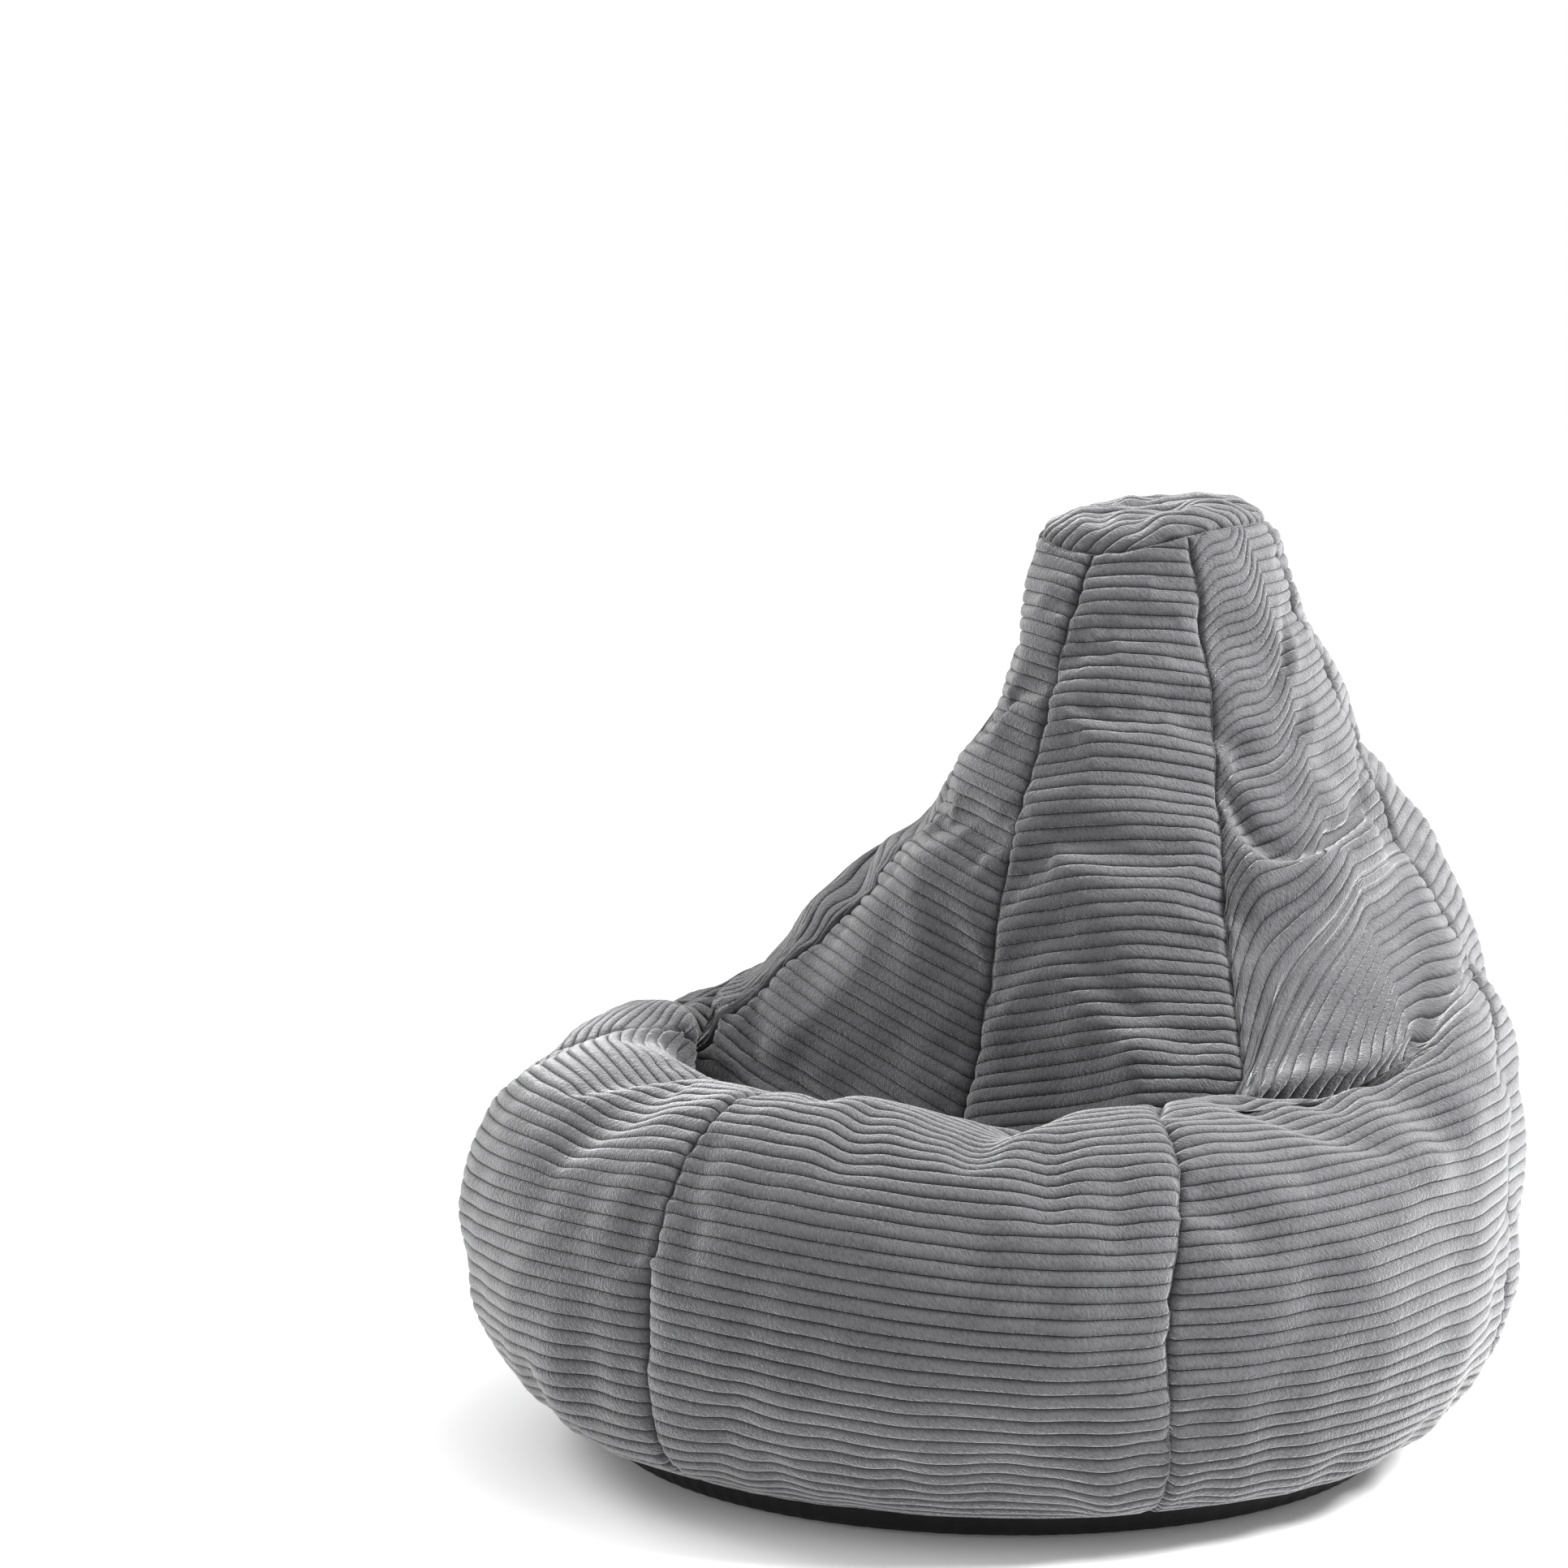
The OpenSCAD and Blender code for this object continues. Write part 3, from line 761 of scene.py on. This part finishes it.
def cloth_material(name, dark, light, scale, roughness, sheen):
    """Plain woven cloth: threads crossing over and under, with uneven dye."""
    m = Nodes(name, Roughness=roughness, Sheen_Weight=sheen, Specular_IOR_Level=0.25)
    where = m.where()
    checks = m.add("ShaderNodeTexVoronoi", Vector=where, Scale=scale)
    checks.feature = "F1"
    checks.distance = "CHEBYCHEV"
    weave = checks.outputs["Distance"]
    uneven = m.noise(where, 25.0, 3.0)
    fibre = m.noise(where, scale * 2.5, 2.0)
    tone = m.math("MULTIPLY_ADD", uneven, 0.6, m.math("MULTIPLY", fibre, 0.4))
    tone = m.math("MULTIPLY_ADD", weave, -0.5, tone)
    m.link(m.ramp(tone, (0.0, dark), (0.8, light)), "Base Color")
    m.bump(weave, 0.0006, 0.5)
    return m.material


def thread_material():
    """Twisted thread: dark and light strands running round it."""
    m = Nodes("sewing_thread", Roughness=0.6, Sheen_Weight=0.3)
    twist = m.noise(m.where(), 900.0, 2.0)
    m.link(m.ramp(twist, (0.3, (0.045, 0.045, 0.047)), (0.7, (0.12, 0.12, 0.124))), "Base Color")
    m.bump(twist, 0.0003, 0.5)
    return m.material


def bead_material():
    """Expanded polystyrene beads, white and matt, with painted shade between them."""
    m = Nodes("beads", Roughness=0.6)
    depth = m.add("ShaderNodeTexVoronoi", Vector=m.where(), Scale=260.0).outputs["Distance"]
    # Painted shade: grey towards each bead's edge, in the hollows between the beads.
    m.link(m.ramp(depth, (0.0, (0.92, 0.92, 0.9)), (0.7, (0.45, 0.45, 0.44))), "Base Color")
    m.bump(m.math("MULTIPLY", depth, -1.0), 0.002, 0.8)
    return m.material


def metal_material():
    """Dark enamelled zinc with fine scratches."""
    m = Nodes("zip_enamel", Metallic=0.9, Roughness=0.35)
    scratch = m.noise(m.where(), 600.0, 4.0, 0.7)
    m.link(m.ramp(scratch, (0.35, (0.07, 0.07, 0.074)), (0.75, (0.16, 0.16, 0.165))), "Base Color")
    m.bump(scratch, 0.0001, 0.3)
    return m.material


corduroy = corduroy_material()
base_cloth = cloth_material("base_weave", (0.003, 0.003, 0.003), (0.014, 0.014, 0.015), 900.0, 0.75, 0.0)
liner_cloth = cloth_material("liner_weave", (0.5, 0.5, 0.48), (0.78, 0.78, 0.75), 1400.0, 0.9, 0.1)
tape_cloth = cloth_material("tape_weave", (0.012, 0.012, 0.013), (0.05, 0.05, 0.052), 1500.0, 0.85, 0.2)
coil_plastic = cloth_material("coil_polyester", (0.03, 0.03, 0.031), (0.065, 0.065, 0.067),
                              1100.0, 0.35, 0.0)
thread = thread_material()
beads = bead_material()
enamel = metal_material()

# ---------- pieces


def hand_over(piece, slot, *nodes, body="bag", fill=None):
    """Attaches a piece to its body and hides the CAD nodes it replaces."""
    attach(piece, body)
    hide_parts(*nodes)


for panel_name, first_angle in PANELS.items():
    panel = corduroy_panel(panel_name + "_cloth", first_angle, corduroy)
    hand_over(panel, "corduroy", panel_name, fill=0.7)


soft_skin = BVHTree.FromPolygons(soft_points.reshape(-1, 3).tolist(),
                                 grid_faces(GRID_UP, GRID_ROUND, True).tolist())


def kept_inside(points, depth):
    """The points, moved where needed so that each lies this deep under the soft surface."""
    points = points.copy()
    for _ in range(3):
        for index in np.ndindex(points.shape[:2]):
            spot, outward = soft_skin.find_nearest(Vector(points[index]))[:2]
            if (Vector(points[index]) - spot).dot(outward) > -depth:
                points[index] = spot - outward * depth
    return points


def inner_layer(name, first, sweep, depth, floor_z, material, thickness):
    """Layer of liner or filling at a depth below the cover's surface, closed at the floor and the top."""
    closed = sweep == 360
    degrees = first + np.linspace(0, sweep, 97)[:-1 if closed else None]
    cols = len(degrees)
    heights, around = np.meshgrid(np.linspace(0.012, 0.996, 130), degrees, indexing="ij")
    p, n = place(heights, around), unit(normal(heights, around))
    wrinkle = Waves(24, 50, 160)
    p = kept_inside(p - n * (depth + 1.2 * wrinkle(p))[..., None], 0.85 * depth)
    p[..., 2] = np.maximum(p[..., 2], floor_z + 0.02 * heights)
    a = np.radians(degrees)
    rim = lambda r: np.stack([r * np.sin(a), BASE_Y - r * np.cos(a), np.full(cols, floor_z)], -1)
    floor_rings = [rim(r) for r in (4, 60, 130, 200, 260, 300)]
    top = np.array(CAP_MID) - (0, 0, depth + 6)
    top_rings = [top + (p[-1] - top) * f for f in (0.75, 0.4, 0.05)]
    rings = np.concatenate([floor_rings, p, top_rings])
    count = len(rings)
    faces, ring = grid_faces(count, cols, closed), np.arange(cols)
    if thickness:
        inside = rings - np.concatenate([np.zeros((6, cols, 3)), n * thickness, np.zeros((3, cols, 3))])
        inside[:6, :, 2] += thickness
        inside[-3:, :, 2] -= thickness
        edge = np.arange(count) * cols
        sides = [strip(edge[::-1], count * cols), strip(edge + cols - 1, count * cols),
                 strip(ring, count * cols)[:, ::-1], strip(ring + edge[-1], count * cols)]
        faces = np.concatenate([faces, faces[:, ::-1] + count * cols, *sides])
        return make_piece(name, np.concatenate([rings, inside]).reshape(-1, 3), faces, material)
    flat = np.concatenate([rings.reshape(-1, 3), [(0, BASE_Y, floor_z)], [top]])
    low, high, last = len(flat) - 2, len(flat) - 1, (count - 1) * cols
    fan = [(low, (k + 1) % cols, k) for k in ring]
    fan += [(high, last + k, last + (k + 1) % cols) for k in ring]
    faces = [*map(tuple, faces), *fan]
    return make_piece(name, flat, faces, material)


def top_cap(name, material):
    """Six-cornered cap, meshed along its ribs, with a padded top, a puckered edge and a dent across it."""
    edge_degrees = np.arange(CAP_EDGE) * 360 / CAP_EDGE
    edge = place(np.ones(CAP_EDGE), edge_degrees)
    mid = np.array([*CAP_MID[:2], edge[:, 2].mean()])
    along_rib, across_rib = compass(CAP_RIBS), compass(CAP_RIBS + 90)
    s, w = (edge[:, :2] - mid[:2]) @ along_rib, (edge[:, :2] - mid[:2]) @ across_rib
    low, high = np.argmin(w), np.argmax(w)
    order = (np.arange(CAP_EDGE) + low) % CAP_EDGE
    split = int(np.where(order == high)[0][0])
    right, left = order[:split + 1], order[split:]
    left = np.append(left, low)[::-1]
    levels = levels_between(w.min() + 0.4, w.max() - 0.4)
    (s_right, z_right), (s_left, z_left) = [
        [np.interp(levels, np.maximum.accumulate(w[side]), line[side]) for line in (s, edge[:, 2])]
        for side in (right, left)]
    width = np.abs(s_right - s_left)[:, None]
    t = columns_across(width, CAP_COLUMNS)
    x = s_left[:, None] + (s_right - s_left)[:, None] * t
    level = np.repeat(levels[:, None], t.shape[1], 1)
    flat = mid[:2] + x[..., None] * along_rib + level[..., None] * across_rib
    base = z_left[:, None] + (z_right - z_left)[:, None] * smooth(t)
    apart = np.hypot(flat[..., None, 0] - edge[:, 0], flat[..., None, 1] - edge[:, 1])
    gap = apart.min(-1)
    nearest = apart.argmin(-1)
    dome = CAP_DOME * (1 - (1 - np.clip(gap / 42, 0, 1)) ** 2.6)
    p = np.concatenate([flat, (base + dome)[..., None]], -1)
    valley = (flat - mid[:2]) @ compass(CAP_VALLEY)
    inside = smooth(gap / 22)
    p[..., 2] -= CAP_DENT * np.exp(-(valley / 13) ** 2) * inside
    p[..., 2] += 2.2 * small(p * 1.6) * inside
    p[..., :2] += (2.5 * small(p * 1.3 + 300) * inside)[..., None] * across_rib
    n = unit(np.cross(np.gradient(p, axis=1), np.gradient(p, axis=0)))
    n *= np.sign(n[..., 2:3].mean())
    panel_n = unit(normal(np.ones(CAP_EDGE), edge_degrees))[nearest]
    at_edge = (1 - smooth(gap / 9))[..., None]
    n = unit(n * (1 - at_edge) + panel_n * at_edge)
    hem = np.broadcast_to((0, 0, FLANGE), n.shape)
    out, values = ribbed(p, n, levels, t, width, gap, np.sqrt(smooth(gap / RIB_END)), 0, hem)
    faces = proper(out.reshape(-1, 3), grid_faces(*out.shape[:2]), 0.005)
    return make_piece(name, out.reshape(-1, 3), faces, material, values)


def rod_grid(path, radius, sides):
    """Rings of points round a path, with one radius or as many radii as points."""
    step = unit(np.gradient(path, axis=0))
    side = unit(np.cross(step, np.where(np.abs(step[:, 2:3]) > 0.9, (1.0, 0, 0), (0, 0, 1.0))))
    up = np.cross(side, step)
    a = np.arange(sides) * 2 * math.pi / sides
    ring = np.cos(a)[None, :, None] * side[:, None] + np.sin(a)[None, :, None] * up[:, None]
    return path[:, None] + ring * np.broadcast_to(radius, (len(path),))[:, None, None]


def stitches(name, paths, radius):
    """Lockstitch along each path: one slim lens of thread after the other, dipping into the cloth."""
    parts = []
    for path in paths:
        run = lengths_along(path)
        number = int(run[-1] / STITCH_L)
        place_at = np.arange(number * 6 + 1) / 6 * run[-1] / number
        line = np.stack([np.interp(place_at, run, path[:, k]) for k in range(3)], 1)
        bulge = np.abs(np.sin(np.arange(len(line)) / 6 * math.pi))
        grid = rod_grid(line, radius * (0.45 + 0.55 * bulge), 6)
        parts.append((grid, grid_faces(len(line), 6, True)))
    return make_piece(name, *joined(parts), thread)


def groove_line(u, degrees, lift):
    """Line along the bottom of a seam's groove, through these heights and angles."""
    p = place(u, degrees)
    return p - unit(normal(u, degrees)) * (GROOVE + seam_depth(p) - lift)[:, None]


def body_seam(degrees):
    """Line of one of the six long seams."""
    return groove_line(np.linspace(0.004, 0.996, 700), np.full(700, float(degrees)), 0.5)


def ring_seam(row, lift):
    """Line of the seam round the cap or round the base."""
    return groove_line(np.full(1441, float(row)), np.linspace(0, 360, 1441), lift)


hand_over(top_cap("top_cap_cloth", corduroy), "corduroy", "top_cap", fill=0.7)
body_seams = [body_seam(angle) for angle in range(0, 360, 60)]
hand_over(stitches("body_seam_stitches", body_seams, THREAD_R), "thread", "body_seam_threads")
hand_over(stitches("cap_seam_stitches", [ring_seam(1, 0.5)], THREAD_R), "thread", "cap_seam_thread")

# ---------- base with its zip


# Share of the rim's radius and height of the base's profile, from the flat bottom to the seam.
BASE_BOTTOM, BASE_TOP = 0.6, 15.0
BASE_PROFILE = [(share, BASE_BOTTOM) for share in (0, 0.2, 0.4, 0.6, 0.66, 0.69, 0.72, 0.8, 0.86)] + [
    (0.92, 0.8), (0.955, 2.0), (0.978, 5.0), (0.99, 8.5), (0.997, 12.0), (1.0, BASE_TOP)]


def shell(low, thickness):
    """Closed shell over a grid of points, with the given thickness upwards and inwards."""
    rows, cols = low.shape[:2]
    up = unit(np.array([0, BASE_Y, 60.0]) - low)
    up[..., :2] *= low[..., 2:3] > 1.5
    high = low + unit(up) * thickness
    faces = grid_faces(rows, cols)[:, ::-1]
    count = rows * cols
    n = np.arange(count).reshape(rows, cols)
    sides = [strip(n[:, 0], count)[:, ::-1], strip(n[:, -1], count), strip(n[-1], count)[:, ::-1]]
    flat = np.concatenate([low, high]).reshape(-1, 3)
    return flat, proper(flat, np.concatenate([faces, faces[:, ::-1] + count, *sides]), 0.001)


def closed_rings(rings):
    """Solid with these rings of points one over the other and flat ends: points and faces."""
    count, n = rings.shape[:2]
    faces = [tuple(f) for f in grid_faces(count, n, True)]
    ends = np.arange(n), np.arange(n) + (count - 1) * n
    return rings.reshape(-1, 3), faces + [tuple(ends[0][::-1]), tuple(ends[1])]


def box(low, high, bevel):
    """Bevelled box between two corners: points and faces."""
    (x0, y0, z0), (x1, y1, z1) = low, high
    b = bevel
    rings = []
    for z, inset in ((z0, b), (z0 + b, 0), (z1 - b, 0), (z1, b)):
        rings.append([(x0 + b, y0 + inset, z), (x1 - b, y0 + inset, z),
                      (x1 - inset, y0 + b, z), (x1 - inset, y1 - b, z),
                      (x1 - b, y1 - inset, z), (x0 + b, y1 - inset, z),
                      (x0 + inset, y1 - b, z), (x0 + inset, y0 + b, z)])
    return closed_rings(np.array(rings))


def bar(side, near, far, low, high, length, bevel):
    """Long box on one side of the zip, between these distances from its middle and these heights."""
    y = sorted((BASE_Y + side * near, BASE_Y + side * far))
    return box((-length / 2, y[0], low), (length / 2, y[1], high), bevel)


def base_half(name, side, material):
    """Half of the base: flat below, turned up to the body's seam, with a folded hem along the zip."""
    degrees = np.linspace(-90, 90, 361) + (180 if side > 0 else 0)
    rim = place(0 * degrees, degrees)
    rim = rim - unit(normal(0 * degrees, degrees)) * (GROOVE + SEAM_DIP + 1.0)
    rim_r = np.linalg.norm(rim[:, :2] - (0, BASE_Y), axis=1)
    a = np.radians(degrees)
    direction = np.stack([np.sin(a), -np.cos(a)], 1)
    rows = []
    for share, height in BASE_PROFILE:
        pleat = 0.5 * (1 + np.sin(a * 110 + 3 * np.sin(a * 7))) * smooth((share - 0.9) * 12) * (share < 1)
        xy = np.array([0, BASE_Y]) + direction * (rim_r * share - pleat)[:, None]
        rise = (height - BASE_BOTTOM) / (BASE_TOP - BASE_BOTTOM)
        z = BASE_BOTTOM + rise * (rim[:, 2] - BASE_BOTTOM)
        rows.append(np.concatenate([xy, z[:, None]], 1))
    low = np.stack(rows)
    opening = np.where(np.abs(low[..., 0]) < ZIP_L / 2 + 6, SLOT_W / 2, 0.3)
    low[..., 1] = BASE_Y + side * np.maximum(side * (low[..., 1] - BASE_Y), opening)
    hem = bar(side, SLOT_W / 2, SLOT_W / 2 + 8, 0.1, 1.2, ZIP_L + 20, 0.4)
    stitch_y = BASE_Y + side * (SLOT_W / 2 + 6)
    x = np.arange(-ZIP_L / 2 - 6, ZIP_L / 2 + 4, 3.2)
    stitch = [box((k, stitch_y - 0.3, 0.0), (k + 2.4, stitch_y + 0.3, 0.3), 0.1) for k in x]
    points, faces = joined([shell(low, 2.0), hem, *stitch])
    return make_piece(name, points, faces, material)


def zip_tape(name, side, material):
    """Tape with a ridge along the coil."""
    tape = bar(side, 3.25, 3.25 + TAPE_W, 3.3, 3.95, ZIP_L, 0.15)
    ridge = bar(side, 3.4, 5.0, 3.05, 3.5, ZIP_L, 0.15)
    return make_piece(name, *joined([tape, ridge]), material, flat=True)


def zip_coil(name, side, material):
    """Helix of plastic wire."""
    angle = np.arange(int(ZIP_L / COIL_PITCH) * 10 + 1) / 10 * 2 * math.pi
    x = -ZIP_L / 2 + 0.6 + (ZIP_L - 1.2) * np.arange(len(angle)) / (len(angle) - 1)
    y = BASE_Y + side * COIL_Y + COIL_R * np.cos(angle) * side
    path = np.stack([x, y, COIL_Z + COIL_R * np.sin(angle)], 1)
    return make_piece(name, *closed_rings(rod_grid(path, COIL_WIRE / 2, 5)), material)


def lofted(outline, levels):
    """Plate with the outline scaled at each height: points and faces."""
    outline = np.array(outline, float)
    centre = (outline.min(0) + outline.max(0)) / 2
    n = len(outline)
    rings = [np.concatenate([centre + (outline - centre) * k, np.full((n, 1), z)], 1) for z, k in levels]
    return closed_rings(np.stack(rings))


SLIDER_X = -ZIP_L / 2 + 15


def zip_slider(name, material):
    """Slider without a tab: two shield-shaped plates, the post between them and the lips over the tapes."""
    shield = [(5.5, -3.3), (5.5, 3.3), (4.2, 4.4), (1.0, 4.5), (-3.0, 4.1), (-5.0, 2.6), (-5.5, 0.0),
              (-5.0, -2.6), (-3.0, -4.1), (1.0, -4.5), (4.2, -4.4)]
    shield = [(SLIDER_X + x, BASE_Y + y) for x, y in shield]
    lower = lofted(shield, [(1.0, 0.9), (1.25, 1.0), (1.8, 1.0), (2.0, 0.95)])
    upper = lofted(shield, [(5.4, 0.95), (5.6, 1.0), (6.15, 1.0), (6.4, 0.9)])
    post = box((SLIDER_X - 5.3, BASE_Y - 0.35, 1.4), (SLIDER_X - 2.0, BASE_Y + 0.35, 6.0), 0.1)
    oval = [(SLIDER_X + 2.5 * math.cos(k), BASE_Y + 1.8 * math.sin(k)) for k in np.arange(0, 6.28, 0.4)]
    hump = lofted(oval, [(0.75, 0.75), (0.95, 1.0), (1.1, 1.0)])
    lips = [box((SLIDER_X - 2.8, y - 0.3, 4.35), (SLIDER_X + 4.4, y + 0.3, 5.6), 0.12)
            for y in (BASE_Y - 4.15, BASE_Y + 4.15)]
    return make_piece(name, *joined([lower, upper, post, hump, *lips]), material, flat=True)


def end_stops(name, material):
    """A pressed metal clip across both coils at each end of the zip."""
    clips = [box((x - 1.45, BASE_Y - 3, 2.1), (x + 1.45, BASE_Y + 3, 5.1), 0.4)
             for x in (-ZIP_L / 2 - 1.8, ZIP_L / 2 + 1.8)]
    return make_piece(name, *joined(clips), material, flat=True)


hand_over(base_half("base_front_cloth", -1, base_cloth), "base_fabric", "base_panel_front")
hand_over(base_half("base_rear_cloth", 1, base_cloth), "base_fabric", "base_panel_rear")
hand_over(zip_tape("tape_front", -1, tape_cloth), "zip_tape", "zip_tape_front")
hand_over(zip_tape("tape_rear", 1, tape_cloth), "zip_tape", "zip_tape_rear")
hand_over(zip_coil("coil_front", -1, coil_plastic), "zip_coil", "zip_coil_front")
hand_over(zip_coil("coil_rear", 1, coil_plastic), "zip_coil", "zip_coil_rear")
hand_over(zip_slider("slider_body", enamel), "zip_metal", "zip_slider", body="slider")
hand_over(end_stops("end_clips", enamel), "zip_metal", "zip_end_stops")
hand_over(stitches("base_seam_stitches", [ring_seam(0, 0.4)], 0.5), "thread", "base_seam_thread")

for end, first_angle in (("front", -90), ("rear", 90)):
    liner = inner_layer(f"liner_{end}_cloth", first_angle, 180, LINER_DEPTH, LINER_FLOOR, liner_cloth,
                        LINER_T)
    hand_over(liner, "liner_fabric", f"liner_{end}_panel", fill=0.6)
bead_heap = inner_layer("bead_heap", 0, 360, BEAD_DEPTH, BEAD_FLOOR, beads, 0)
hand_over(bead_heap, "beads", "bead_fill", fill=0.9)

# ---------- camera, light and floor

AIM = Vector((0, -0.02, 0.37))
VIEW_AZ, VIEW_EL, VIEW_DISTANCE = math.radians(40.5), math.radians(9), 3.26
FOCAL = 90.0
LAMP_AIM = Vector((0, 0, 0.35))


def make_camera():
    """The camera looks a little up and left of the chair, which stands low and right in the picture."""
    data = bpy.data.cameras.new("camera")
    data.lens = FOCAL
    data.sensor_width = 36
    camera = add_object("camera", data)
    back = Vector((math.sin(VIEW_AZ) * math.cos(VIEW_EL), -math.cos(VIEW_AZ) * math.cos(VIEW_EL),
                   math.sin(VIEW_EL)))
    camera.location = AIM + back * VIEW_DISTANCE
    turn_left, turn_up = math.radians(3.15), math.radians(2.99)
    camera.rotation_euler = Euler((math.radians(90) - VIEW_EL + turn_up, 0, VIEW_AZ + turn_left))
    bpy.context.scene.camera = camera


def area_light(name, location, size, power):
    """Round soft lamp, turned to the chair."""
    data = bpy.data.lights.new(name, "AREA")
    data.shape = "DISK"
    data.size = size
    data.energy = power
    lamp = add_object(name, data)
    lamp.location = location
    lamp.rotation_euler = (LAMP_AIM - Vector(location)).to_track_quat("-Z", "Y").to_euler()


def make_floor():
    """White floor that grows into the white surroundings away from the chair."""
    m = Nodes("floor", Roughness=0.9, Base_Color=(0.88, 0.88, 0.88, 1), Specular_IOR_Level=0.0,
              Emission_Color=(1, 1, 1, 1))
    far = m.add("ShaderNodeVectorMath", Vector=m.where())
    far.operation = "LENGTH"
    near = m.math("MINIMUM", far.outputs["Value"], 4.0)
    m.link(m.math("MULTIPLY_ADD", near, 0.1, 0.02), "Emission Strength")
    mesh = bpy.data.meshes.new("floor")
    r, z = 40.0, -0.001
    mesh.from_pydata([(-r, -r, z), (r, -r, z), (r, r, z), (-r, r, z)], [], [(0, 1, 2, 3)])
    mesh.materials.append(m.material)
    floor = add_object("floor", mesh)


make_camera()
area_light("left", (-2.8, -0.8, 2.3), 1.6, 60)
area_light("right", (2.35, 1.1, 2.8), 1.4, 310)
area_light("above", (0.2, 0.3, 3.4), 1.6, 22)
world = bpy.data.worlds.new("world")
world.use_nodes = True
background = world.node_tree.nodes["Background"]
background.inputs["Color"].default_value = (1, 1, 1, 1)
background.inputs["Strength"].default_value = 1.0
scene.world = world
scene.view_settings.view_transform = "Standard"
make_floor()
